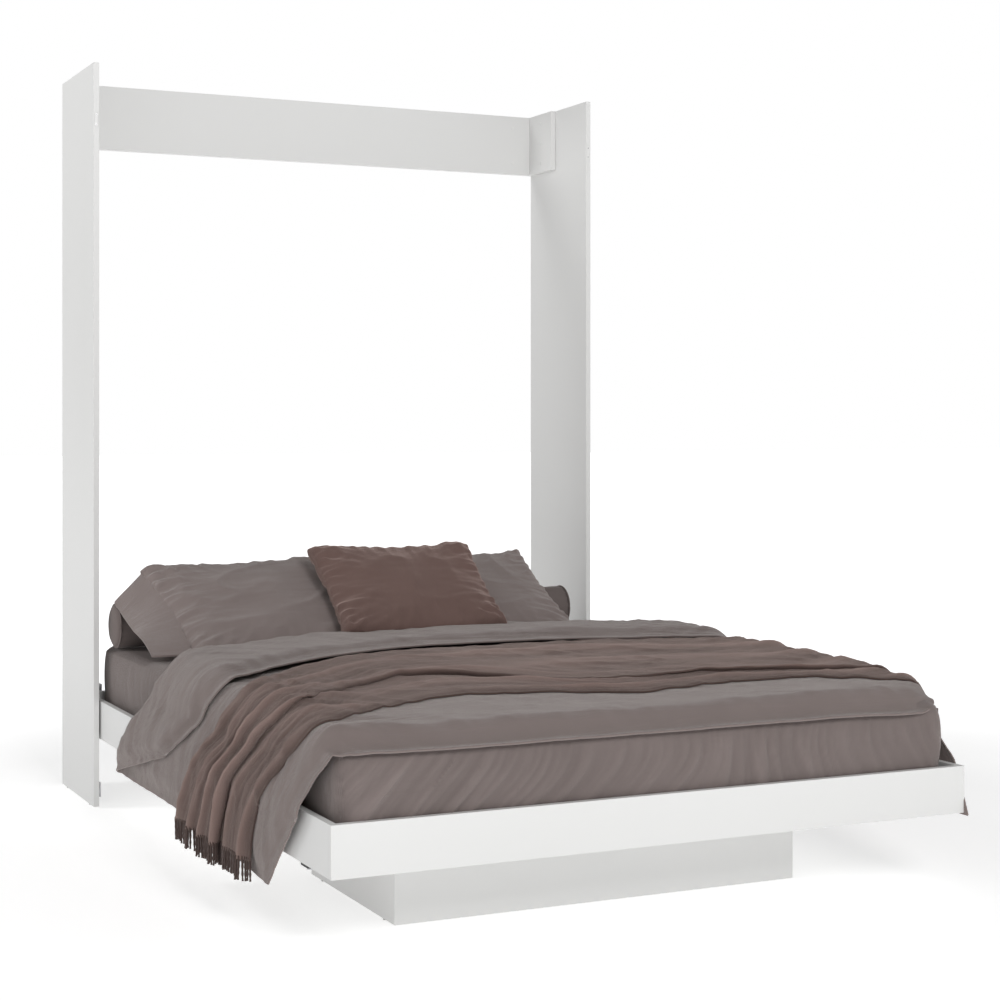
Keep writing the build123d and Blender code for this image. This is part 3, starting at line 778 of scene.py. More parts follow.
def dress_nodes(finishes: Finishes) -> None:
    """Give every CAD node the finish of its record slot."""
    for row in frame["record"]["subparts"]:
        node = frame["nodes"][row["node"]]
        node.data.materials.clear()
        node.data.materials.append(finishes[COVERED.get(row["node"], row["material_slot"])])


# ---------------------------------------------------------------- bedding on the mattress


@dataclass
class BedTop:
    """The shape that layers take over the mattress and down its two sides."""

    half_flat: float = 0.772
    bend: float = 0.075
    top: float = 0.497
    pull: tuple[float, float] = (0.025, 0.008)
    worn: tuple[float, float] = (0.020, 0.010)

    @property
    def arc(self) -> float:
        """Cloth length of the bend over one edge."""
        return self.bend * math.pi / 2

    def point(self, across: float, depth: float, lift: float) -> Vector:
        """Place one cloth point.

        Args:
            across: Signed cloth length from the bed's middle.
            depth: Distance out from the wall.
            lift: Height above the lowest layer, along the outward normal.

        Returns:
            The point in the row frame.
        """
        side = -1.0 if across < 0 else 1.0
        run = abs(across) - self.half_flat
        radius = self.bend + lift
        y = WALL_Y - depth
        foot = ease((depth - 2.02) / 0.26) * ease((across - 0.45) / 0.35)
        lift -= self.worn[1] * foot
        centre = self.top - self.bend - self.worn[1] * foot
        if run <= 0:
            return Vector((across, y, self.top + lift))
        angle = min(run, self.arc) / self.bend
        z = centre + radius * math.cos(angle) - max(0.0, run - self.arc)
        pull = self.pull[0 if across < 0 else 1] * math.sin(angle) * (1 - ease((0.44 - z) / 0.12))
        pull += self.worn[0] * foot * math.sin(angle)
        return Vector((side * (self.half_flat + radius * math.sin(angle) - pull), y, z))

    def across_at(self, z: float) -> float:
        """Cloth length from the middle at which the hanging part is at height z."""
        return self.half_flat + self.arc + (self.top - self.bend - z)


TOP = BedTop()


@dataclass
class Tuck:
    """Settings for folding pieces into the tray as the bed swings up; its methods only give each piece its
    own copy of its mesh.
    """

    lean: tuple[float, float] = (0.77, 0.64)
    anchor: tuple[float, float] = (0.77, 0.31)
    keep: float = 0.03
    narrow: float = 0.905

    def drop(self, piece: bpy.types.Object, side: Side) -> None:
        """Give a hanging piece its own copy of its mesh."""
        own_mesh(piece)

    def middle(self, piece: bpy.types.Object) -> None:
        """Give a top layer its own copy of its mesh."""
        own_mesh(piece)

    @staticmethod
    def flatten(piece: bpy.types.Object, keep: float = 0.3) -> None:
        """Give a pillow or cushion its own copy of its mesh."""
        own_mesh(piece)


def off_middle(
    middle: Callable[[float, float], Vector], across: float, share: float, offset: float
) -> Vector:
    """A point at an offset from a cloth's middle surface, square to it.

    Args:
        middle: The middle surface, by place across and share of the cloth's length.
        across: Place across the bed, along the cloth.
        share: Share of the cloth's length.
        offset: Distance from the middle surface.

    Returns:
        The point on the face.
    """
    near, reach = 0.004, 0.003
    run = middle(across + near, share) - middle(across - near, share)
    step = middle(across, min(1.0, share + reach)) - middle(across, max(0.0, share - reach))
    return middle(across, share) + run.cross(step).normalized() * offset


@dataclass
class Duvet:
    """A filled duvet, folded back at the head and hanging over both sides."""

    finishes: Finishes
    tuck: Tuck
    thick: float = 0.030
    fold_lift: float = 0.042
    split_z: float = 0.30
    right_end: float = 1.100
    band_rows: float = 0.20
    turn_rows: float = 0.26
    foot_edge: float = 2.265
    foot_drop: float = 0.026
    cord: float = 0.0026
    hem_half: float = 0.0022
    crease: Line = field(
        default_factory=lambda: Line(
            (-1.15, 0.73), (-1.07, 0.83), (-1.00, 0.94), (-0.95, 1.01), (-0.90, 1.08),
            (-0.83, 1.18), (-0.74, 1.15), (-0.58, 1.06), (-0.30, 0.915), (0.0, 0.865),
            (0.30, 0.87), (0.58, 0.95), (0.80, 1.08), (0.92, 1.10), (1.13, 0.95),
        )
    )
    band_hem: Line = field(
        default_factory=lambda: Line(
            (-1.15, 1.06), (-1.018, 1.26), (-0.97, 1.364), (-0.92, 1.452), (-0.87, 1.53),
            (-0.81, 1.58), (-0.74, 1.54), (-0.64, 1.44), (-0.52, 1.345), (-0.36, 1.25),
            (-0.20, 1.18), (0.0, 1.16), (0.28, 1.18), (0.55, 1.24), (0.80, 1.31), (0.95, 1.34),
            (1.13, 1.28),
        )
    )
    foot_hem: Line = field(
        default_factory=lambda: Line(
            (-1.186, 2.004), (-1.118, 2.068), (-1.058, 2.132), (-1.0, 2.19), (-0.92, 2.244),
            (-0.85, 2.315), (-0.78, 2.340), (-0.4, 2.344), (0.0, 2.342), (0.5, 2.344),
            (0.70, 2.335), (0.78, 2.29), (0.84, 2.235), (0.90, 2.235), (0.98, 2.305),
            (1.10, 2.355),
        )
    )
    side_hem: Line = field(
        default_factory=lambda: Line(
            (0.0, -1.018), (0.20, -1.135), (0.26, -1.150), (0.6, -1.150), (1.0, -1.186),
        )
    )

    @staticmethod
    def hanging(across: float) -> float:
        """How far a place is over the mattress's edge, from 0 on top to 1 on the side."""
        return ease((abs(across) - TOP.half_flat) / 0.14)

    def lift_at(self, across: float) -> float:
        """Height of the folded-back layer above the lower one."""
        return self.fold_lift * (1 - 0.30 * self.hanging(across))

    def along(self, across: float, share: float) -> tuple[float, float]:
        """Depth and lift of the middle surface at a share of the cloth's length."""
        crease = self.crease.at(across)
        high = self.lift_at(across)
        radius = high / 2
        if share < self.band_rows:
            part = share / self.band_rows
            return self.band_hem.at(across) * (1 - part) + (crease + radius) * part, high
        if share < self.turn_rows:
            angle = math.pi * (share - self.band_rows) / (self.turn_rows - self.band_rows)
            return crease + radius - radius * math.sin(angle), radius + radius * math.cos(angle)
        part = (share - self.turn_rows) / (1 - self.turn_rows)
        part = part - 0.06 * math.sin(2 * math.pi * part) / math.pi
        return (crease + radius) * (1 - part) + self.foot_hem.at(across) * part, 0.0

    def billow(self, across: float, depth: float) -> float:
        """Soft rise and fall of the filled cloth."""
        hang = self.hanging(across)
        side = 1.0 if across > 0 else -1.0
        low = 0.0065 * ripple(across * 2.6, depth * 2.3, 1.7)
        low += 0.0035 * ripple(across * 6.0, depth * 5.0, 4.2)
        folds = 0.006 * ripple(side * 3.0, depth * 7.0 + abs(across) * 1.6, 9.0)
        lines = 0.0034 * ridge(across * 3.2 + depth * 2.4, depth * 7.5 - across * 5.5, 2.0)
        lines += 0.0022 * ridge(across * 9.0 - depth * 3.0, depth * 4.0 + across * 3.0, 6.0)
        shoulder = ease((abs(across) - 0.45) / 0.3)
        drape = 0.0055 * ridge(across * 1.3, depth * 12.0 + abs(across) * 4.0, 12.0)
        drape += 0.0032 * ridge(across * 2.0, depth * 24.0 + abs(across) * 9.0, 15.0)
        return low * (1 - 0.6 * hang) + folds * hang + lines + drape * shoulder

    def edge_share(self, across: float, share: float) -> float:
        """How full the filling is, thin at every hem."""
        depth, lift = self.along(across, share)
        if share < self.band_rows:
            gap = max(0.0, self.band_hem.at(across) - depth)
        elif share < self.turn_rows:
            gap = 1.0
        else:
            gap = max(0.0, self.foot_hem.at(across) - depth)
        side_gap = min(across - self.side_hem.at(share), self.right_end - across)
        return min(ease((gap - 0.012) / 0.07), ease((side_gap - 0.010) / 0.06))

    def layer(self, across: float, share: float, side: float) -> Vector:
        """A point on the outer (side 1) or inner (side -1) face of the cloth."""
        thick = self.thick * (1 - 0.25 * self.hanging(across))
        half = self.hem_half + (thick / 2 - self.hem_half) * self.edge_share(across, share)
        return off_middle(self.middle, across, share, half * side)

    def middle(self, across: float, share: float) -> Vector:
        """A point on the cloth's middle surface."""
        depth, lift = self.along(across, share)
        full = self.edge_share(across, share)
        folded = lift > 0.5 * self.lift_at(across)
        hang = self.hanging(across)
        sag = (0.006 if folded else 0.009 * (1 - hang)) * (1 - full)
        sag += self.foot_drop * (1 - hang) * ease((depth - self.foot_edge) / 0.075)
        pucker = 0.0035 * hang * (1 - full) * ripple(across * 26.0, depth * 26.0, 3.0)
        offset = lift + self.billow(across, depth) * (0.25 + 0.75 * full) + pucker - sag
        if not folded and hang > 0.5:
            offset = max(offset, 0.001)
        return TOP.point(across, depth, offset)

    def surface_lift(self, across: float, depth: float) -> float:
        """Lift of the uppermost face at a place, for what lies on top."""
        over = ease((self.band_hem.at(across) + 0.03 - depth) / 0.07)
        gap = self.foot_hem.at(across) - depth
        thick = self.thick * (1 - 0.25 * self.hanging(across))
        half = 0.002 + (thick / 2 - 0.002) * ease((gap - 0.012) / 0.07)
        return half + self.lift_at(across) * over + self.billow(across, depth)

    def _strip(self, name: str, low: float | None, high: float | None, columns: int) -> bpy.types.Object:
        """One closed part of the duvet between two cloth lengths across, to a side hem where one is None."""

        def across(a: float, b: float) -> float:
            start = self.side_hem.at(b) if low is None else low
            end = self.right_end if high is None else high
            return start + a * (end - start)

        return shell_from_grid(
            name,
            columns,
            220,
            lambda a, b: self.layer(across(a, b), b, 1.0),
            lambda a, b: self.layer(across(a, b), b, -1.0),
            ((high or self.right_end) - (low or self.side_hem.at(1.0)), 2.1),
        )

    def _piping(self, name: str, low: float | None, high: float | None) -> bpy.types.Object:
        """The corded edge along a part's hems."""
        bm = bmesh.new()
        steps = 160
        for share in (0.0, 1.0):
            start = self.side_hem.at(share) if low is None else low
            end = self.right_end if high is None else high
            path = [self.middle(start + (end - start) * k / steps, share) for k in range(steps + 1)]
            tube(bm, path, lambda t: self.cord, 6)
        if low is None or high is None:
            ends = self.side_hem.at if low is None else (lambda t: self.right_end)
            path = [self.middle(ends(k / steps), k / steps) for k in range(steps + 1)]
            tube(bm, path, lambda t: self.cord, 6)
        bmesh.ops.recalc_face_normals(bm, faces=list(bm.faces))
        return new_piece(name, bm)

    def build(self) -> None:
        """Make the top and the two hanging sides, each with its corded hem."""
        material = self.finishes["duvet_cloth"]
        split = TOP.across_at(self.split_z)
        parts = (
            ("top", -split, split, 200, None, ["duvet"]),
            ("side_left", None, -split, 16, Side.LEFT, []),
            ("side_right", split, None, 12, Side.RIGHT, []),
        )
        for word, low, high, columns, side, nodes in parts:
            strip = self._strip(f"duvet_{word}", low, high, columns)
            piping = self._piping(f"duvet_piping_{word}", low, high)
            dress(strip, material, BED, nodes)
            dress(piping, material, BED)
            for piece in (strip, piping):
                if side is None:
                    self.tuck.middle(piece)
                else:
                    self.tuck.drop(piece, side)


@dataclass
class Throw:
    """A fringed blanket folded in two and laid slantwise over the duvet."""

    finishes: Finishes
    tuck: Tuck
    duvet: Duvet
    thick: float = 0.0045
    ends: tuple[float, float] = (-1.150, 1.085)
    upper_rows: float = 0.60
    roll_rows: float = 0.66
    head_edge: Line = field(
        default_factory=lambda: Line(
            (-1.15, 1.37), (-1.05, 1.45), (-0.94, 1.572), (-0.88, 1.66), (-0.82, 1.71),
            (-0.72, 1.61), (-0.574, 1.44), (-0.44, 1.33), (-0.27, 1.235), (-0.06, 1.185),
            (0.28, 1.195), (0.55, 1.245), (0.80, 1.345), (0.95, 1.42), (1.08, 1.50),
        )
    )
    fold_edge: Line = field(
        default_factory=lambda: Line(
            (-1.15, 1.735), (-1.08, 1.77), (-1.006, 1.816), (-0.94, 1.876), (-0.88, 1.95),
            (-0.83, 2.03), (-0.76, 2.01), (-0.65, 1.88), (-0.52, 1.76), (-0.40, 1.69),
            (-0.30, 1.68), (-0.18, 1.80), (-0.08, 1.90), (0.05, 1.945), (0.30, 1.945),
            (0.50, 1.97), (0.70, 2.03), (0.85, 2.04), (1.08, 1.98),
        )
    )
    foot_edge: Line = field(
        default_factory=lambda: Line(
            (-1.15, 1.93), (-1.10, 1.935), (-1.04, 1.965), (-0.97, 2.03), (-0.90, 2.11),
            (-0.84, 2.19), (-0.76, 2.20), (-0.61, 2.08), (-0.47, 2.00), (-0.35, 1.975),
            (-0.17, 2.02), (-0.02, 2.05), (0.08, 2.10), (0.24, 2.075), (0.40, 2.055),
            (0.58, 2.09), (0.72, 2.17), (0.85, 2.19), (1.08, 2.14),
        )
    )

    def along(self, across: float, share: float) -> tuple[float, float]:
        """Depth and lift above the duvet at a share of the folded width."""
        head, fold, foot = (line.at(across) for line in (self.head_edge, self.fold_edge, self.foot_edge))
        high, low, tuck_in = 0.017, 0.0065, 0.016
        if share < self.upper_rows:
            part = share / self.upper_rows
            rise = ease(part / 0.06)
            return head + (fold - head) * part, 0.004 + (high - 0.004) * rise
        if share < self.roll_rows:
            angle = math.pi * (share - self.upper_rows) / (self.roll_rows - self.upper_rows)
            radius = (high - low) / 2
            back = tuck_in * (1 - math.cos(angle)) / 2
            return fold + radius * math.sin(angle) - back, low + radius + radius * math.cos(angle)
        part = (share - self.roll_rows) / (1 - self.roll_rows)
        start = fold - tuck_in
        return start + (foot - start) * part, low - 0.003 * ease((part - 0.94) / 0.06)

    def gather(self, across: float, share: float) -> float:
        """Ridges that run along the blanket's length."""
        high = 0.013 + 0.007 * ease((abs(across) - 0.55) / 0.4) - 0.009 * ease((across - 0.3) / 0.4)
        return self.crest(across, share) * high

    @staticmethod
    def crest(across: float, share: float) -> float:
        """Height on the folds, from 0 in a valley to 1 on a crest."""
        hang = ease((abs(across) - 0.55) / 0.35)
        flow = share * (5.0 + 1.5 * hang) + 0.8 * ripple(across * 1.3, share * 1.6, 3.3) + 0.25 * across
        wave = (1 - abs(math.sin(flow * math.pi / 1.15))) ** 1.3
        fine = 0.20 * ridge(share * 9.0 + 0.8 * across, across * 1.2, 5.0)
        fine += 0.09 * ridge(share * 21.0, across * 2.5, 7.0)
        broken = 0.65 + 0.35 * ripple(across * 2.1, share * 3.0, 11.0)
        edge = ease(share / 0.09) * ease((1 - share) / 0.07)
        return min(1.0, max(0.0, wave * broken + fine)) * edge

    def layer(self, across: float, share: float, side: float) -> Vector:
        """A point on the upper (side 1) or lower (side -1) face."""
        return off_middle(self._middle, across, share, side * self.thick / 2)

    def _middle(self, across: float, share: float) -> Vector:
        """A point on the blanket's middle surface."""
        depth, lift = self.along(across, share)
        base = self.duvet.surface_lift(across, depth)
        return TOP.point(across, depth, base + lift + self.gather(across, share))

    def _strip(self, name: str, low: float, high: float, columns: int) -> bpy.types.Object:
        """One closed part of the blanket between two cloth lengths across."""
        return shell_from_grid(
            name,
            columns,
            150,
            lambda a, b: self.layer(low + a * (high - low), b, 1.0),
            lambda a, b: self.layer(low + a * (high - low), b, -1.0),
            (high - low, 0.9),
            # The crest height becomes the fold attribute: painted shade in the throw's fold valleys, a
            # painted highlight on its crests.
            lambda a, b: self.crest(low + a * (high - low), b),
        )

    def _width(self, low: float, high: float) -> float:
        """Mean cloth length along the shares of one part."""
        steps = 60
        total = 0.0
        for column in (0.1, 0.3, 0.5, 0.7, 0.9):
            across = low + column * (high - low)
            points = [self._middle(across, k / steps) for k in range(steps + 1)]
            total += sum((b - a).length for a, b in zip(points, points[1:]))
        return total / 5

    def _fringe(self, side: Side) -> bpy.types.Object:
        """Twisted yarn ends along one end of the blanket."""
        bm = bmesh.new()
        end = self.ends[0] if side is Side.LEFT else self.ends[1]
        count = 84
        for i in range(count):
            share = (i + 0.5) / count
            root = self._middle(end * 0.996, share)
            sway = ripple(i * 0.37, 3.0, side.value)
            lean = ripple(i * 0.21, 8.0, side.value)
            length = 0.056 + 0.010 * ripple(i * 1.7, 1.0)
            path = [
                root + Vector((side.value * 0.006 * lean * t, 0.016 * sway * t * t, 0.004 - length * t))
                for t in (k / 7 for k in range(8))
            ]
            tube(bm, path, lambda t: (0.0036 + 0.0007 * math.sin(20 * t)) * (1 - 0.35 * t), 6)
        bmesh.ops.recalc_face_normals(bm, faces=list(bm.faces))
        return new_piece(f"throw_fringe_{side.word}", bm)

    def build(self) -> None:
        """Make the top, the hanging ends and their fringes."""
        material = self.finishes["throw_cloth"]
        split = TOP.across_at(self.duvet.split_z)
        top = self._strip("throw_top", -split, split, 190)
        dress(top, material, BED, ["throw"])
        self.tuck.middle(top)
        self._declare(-split, split)
        for side, low, high in ((Side.LEFT, self.ends[0], -split), (Side.RIGHT, split, self.ends[1])):
            piece = self._strip(f"throw_end_{side.word}", low, high, 14)
            fringe = self._fringe(side)
            dress(piece, material, BED)
            dress(fringe, self.finishes["fringe_yarn"], BED)
            self.tuck.drop(piece, side)
            self.tuck.drop(fringe, side)
            self._declare(low, high)

    def _declare(
        self, low: float, high: float
    ) -> None:
        """Work out one part's flat size, which is not kept."""
        flat = (round(high - low, 3), round(self._width(low, high), 3))


# ---------------------------------------------------------------- pillows and cushions


@dataclass
class Pad:
    """A sewn, filled cover that leans on the bed head."""

    name: str
    slot: str
    middle_x: float
    cut: tuple[float, float]
    low: tuple[float, float]
    high: tuple[float, float]
    swell: float
    pressure: float
    cells: float = 0.009
    roll: float = 0.0
    waist: float = 0.045
    pleat: float = 0.014

    def flat(self) -> bpy.types.Object:
        """The cover as cut and sewn, hardly filled."""
        width, height = self.cut
        columns, rows = round(width / self.cells), round(height / self.cells)

        def face(side: float) -> Callable[[float, float], Vector]:
            def point(a: float, b: float) -> Vector:
                x, y = 2 * a - 1, 2 * b - 1
                full = ((1 - x**4) * (1 - y**4)) ** 0.6
                in_x, in_y = 1 - self.waist * (1 - y * y), 1 - self.waist * (1 - x * x)
                seam = 0.004 * ripple(x * 5.0, y * 5.0, 2.0) * max(abs(x), abs(y)) ** 6
                return Vector(
                    (x * width / 2 * in_x, y * height / 2 * in_y, side * (0.0022 + self.swell * full) + seam)
                )

            return point

        return shell_from_grid(f"{self.name}_cover", columns, rows, face(1.0), face(-1.0), self.cut)

    def on_seam(self, at: Vector) -> bool:
        """Whether a point of the cut cover lies on its seam."""
        x, y = abs(at.x) / (self.cut[0] / 2), abs(at.y) / (self.cut[1] / 2)
        return max(x + self.waist * (1 - y * y), y + self.waist * (1 - x * x)) > 0.985

    def gathers(self, piece: bpy.types.Object, flat: Sequence[Vector]) -> None:
        """Pull small pleats in from the seams and the corners.

        Args:
            piece: The filled cover.
            flat: Each point's place on the cover as cut.
        """
        half_w, half_h = self.cut[0] / 2, self.cut[1] / 2
        steps = []
        for v, at in zip(piece.data.vertices, flat):
            side, top = half_w - abs(at.x), half_h - abs(at.y)
            face = math.copysign(4.0, at.z) + self.middle_x
            corner = abs(at.x * at.y) / (half_w * half_h)
            fan_side = at.y * (24.0 + 50.0 * side)
            fan_top = at.x * (17.0 + 30.0 * top)
            from_side = ridge(fan_side, side * 7.0, 1.0 + face)
            from_side += 0.5 * ridge(fan_side * 2.1, side * 9.0, 2.0 + face)
            from_top = ridge(fan_top, top * 7.0, 5.0 + face)
            from_top += 0.5 * ridge(fan_top * 2.1, top * 9.0, 6.0 + face)
            reach_side = ease(side / 0.014) * math.exp(-side / 0.075)
            reach_top = ease(top / 0.014) * math.exp(-top / 0.060)
            soft = 0.006 * ripple(at.x * 8.0, at.y * 8.0, 3.0 + face)
            soft += 0.006 * ridge(at.x * 6.0 + at.y * 3.0, at.y * 9.0 - at.x * 3.0, 8.0 + face)
            pull = from_side * reach_side * (1.0 + corner) + 0.6 * from_top * reach_top * (1.0 + corner)
            rise = self.pleat * pull + soft * ease(min(side, top) / 0.05)
            steps.append(Vector((0, 0, rise * math.copysign(1.0, at.z))))
        for v, step in zip(piece.data.vertices, steps):
            v.co += step

    def place(self, piece: bpy.types.Object, shift: Callable[[Vector], Vector]) -> None:
        """Lean the filled cover into its place."""
        run = Vector((0, self.low[0] - self.high[0], self.high[1] - self.low[1]))
        up = run.normalized()
        out = Vector((0, -up.z, up.y))
        across = Vector((1, 0, 0))
        turn = Matrix.Rotation(self.roll, 3, out)
        up, across = turn @ up, turn @ across
        centre = Vector(
            (self.middle_x, WALL_Y - (self.low[0] + self.high[0]) / 2, (self.low[1] + self.high[1]) / 2)
        )
        for v in piece.data.vertices:
            v.co = shift(centre + across * v.co.x + up * v.co.y + out * v.co.z)


REST_Z = 0.4835
BOLSTER_AT = (0.450, 0.550, 0.069)


def rest_on_bed(point: Vector) -> Vector:
    """Keep a point above the sheet and outside the bolster."""
    depth, height, radius = BOLSTER_AT
    away = Vector((0, point.y - (WALL_Y - depth), point.z - height))
    if 1e-6 < away.length < radius:
        away *= radius / away.length
        point = Vector((point.x, WALL_Y - depth + away.y, height + away.z))
    if point.z < REST_Z:
        point = Vector((point.x, point.y, REST_Z + 0.0006 * (point.z - REST_Z)))
    return point


@dataclass
class Pillows:
    """Two bed pillows, a velvet cushion and the bolster behind them."""

    finishes: Finishes
    tuck: Tuck
    hem_wide: float = 0.128

    def pads(self) -> list[Pad]:
        """The three covers with their places."""
        slope = ((0.868, 0.495), (0.440, 0.716))
        return [
            Pad("pillow_left", "pillow_cloth", -0.345, (0.71, 0.52), *slope, 0.040, 3.8, roll=0.08),
            Pad("pillow_right", "pillow_cloth", 0.222, (0.70, 0.52), *slope, 0.040, 3.8),
            Pad("cushion", "velvet", 0.020, (0.535, 0.385), (0.925, 0.545), (0.625, 0.772), 0.034, 3.6),
        ]

    def build(self) -> None:
        """Make the covers, the pillow's open hem and the bolster."""
        for pad in self.pads():
            piece = pad.flat()
            flat = [v.co.copy() for v in piece.data.vertices]
            seam = [i for i, at in enumerate(flat) if abs(at.z) < 0.009 and pad.on_seam(at)]
            inflate(piece, pad.pressure, 18, 0.045, stiffness=6.0, bend=2.0, held=seam)
            pad.gathers(piece, flat)
            subdivide(piece)
            clamp = rest_on_bed if pad.slot == "pillow_cloth" else (lambda p: p)
            pad.place(piece, clamp)
            dress(piece, self.finishes[pad.slot], BED, [pad.name])
            self.tuck.flatten(piece)
            if pad.name == "pillow_left":
                self._open_hem(piece, pad)
        self._bolster()

    def _open_hem(self, pillow: bpy.types.Object, pad: Pad) -> None:
        """The empty, stitched end of the left pillow's cover, drooping off the pillow."""
        steps = 26
        low_z = pad.low[1]
        high_z = pad.high[1]
        edge: list[Vector] = []
        for i in range(steps + 1):
            share = i / steps
            depth = pad.low[0] + (pad.high[0] - pad.low[0]) * (0.03 + 0.94 * share)
            height = low_z + (high_z - low_z) * (0.03 + 0.94 * share)
            near = [
                v.co
                for v in pillow.data.vertices
                if abs(v.co.y - (WALL_Y - depth)) < 0.02 and v.co.x < pad.middle_x - 0.2
            ]
            x = min((c.x for c in near), default=pad.middle_x - pad.cut[0] / 2)
            edge.append(Vector((x + 0.012, WALL_Y - depth, max(height, REST_Z + 0.006))))

        def face(side: float) -> Callable[[float, float], Vector]:
            def point(a: float, b: float) -> Vector:
                place = b * steps
                i = min(steps - 1, int(place))
                root = edge[i].lerp(edge[i + 1], place - i)
                droop = ease(b) * 0.78
                out = Vector((-math.cos(droop), 0.10 * a * (1 - b), -math.sin(droop)))
                wave = 0.006 * a * ripple(b * 5.0, a * 2.0, 4.0)
                half = 0.0035 + 0.006 * (1 - a) * (1 - (2 * b - 1) ** 2)
                thick = Vector((-0.35, -0.5, 0.79)) * (side * half + wave)
                spot = root + out * (a * self.hem_wide) + thick
                return Vector((spot.x, spot.y, max(spot.z, REST_Z + 0.001 + (0.004 if side > 0 else 0.0))))

            return point

        hem = shell_from_grid("pillow_left_hem", 20, 60, face(1.0), face(-1.0), (self.hem_wide, 0.5))
        dress(hem, self.finishes["pillow_cloth"], BED)
        self.tuck.flatten(hem)

    def _bolster(self) -> None:
        """A long round bolster with piped ends."""
        low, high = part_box("bolster")
        low = low - Vector((0.018, 0, 0))
        radius = (high.z - low.z) / 2
        centre_y, centre_z = (low.y + high.y) / 2, (low.z + high.z) / 2
        bm = bmesh.new()
        length = high.x - low.x
        rounding = [0.0, 0.004, 0.010, 0.016, 0.030]
        stations = rounding + [0.06 + 0.0315 * i for i in range(45)]
        stations = [s for s in stations if s < length - 0.05] + [length - s for s in reversed(rounding)]
        path = [Vector((low.x + s, centre_y, centre_z)) for s in stations]

        def size(t: float) -> float:
            s = min(t, 1 - t) * (len(stations) - 1)
            return radius * (0.80, 0.93, 0.985, 1.0)[int(s)] if s < 3.5 else radius

        tube(bm, path, size, 40)
        for v in bm.verts:
            along = v.co.x - low.x
            angle = math.atan2(v.co.z - centre_z, v.co.y - centre_y)
            wrinkle = 0.0022 * ridge(along * 7.0, angle * 1.2, 1.0) + 0.0025 * ripple(along * 3.0, angle, 2.0)
            near_end = min(along, length - along)
            pinch = 0.0025 * math.sin(angle * 17) * ease(1 - near_end / 0.09) if near_end > 0.012 else 0.0
            away = Vector((0, v.co.y - centre_y, v.co.z - centre_z))
            if away.length > radius * 0.5:
                v.co += away.normalized() * (wrinkle - 0.003 + pinch)
        bmesh.ops.recalc_face_normals(bm, faces=list(bm.faces))
        piece = new_piece("bolster_cover", bm)
        dress(piece, self.finishes["bolster_cloth"], BED, ["bolster"])
        self.tuck.flatten(piece)
        rim = bmesh.new()
        for x in (low.x + 0.010, high.x - 0.010):
            ring = [
                Vector((x, centre_y + radius * 0.985 * math.cos(a), centre_z + radius * 0.985 * math.sin(a)))
                for a in (2 * math.pi * k / 48 for k in range(49))
            ]
            tube(rim, ring, lambda t: 0.0028, 6)
        bmesh.ops.recalc_face_normals(rim, faces=list(rim.faces))
        piping = new_piece("bolster_piping", rim)
        dress(piping, self.finishes["bolster_cloth"], BED)
        self.tuck.flatten(piping)


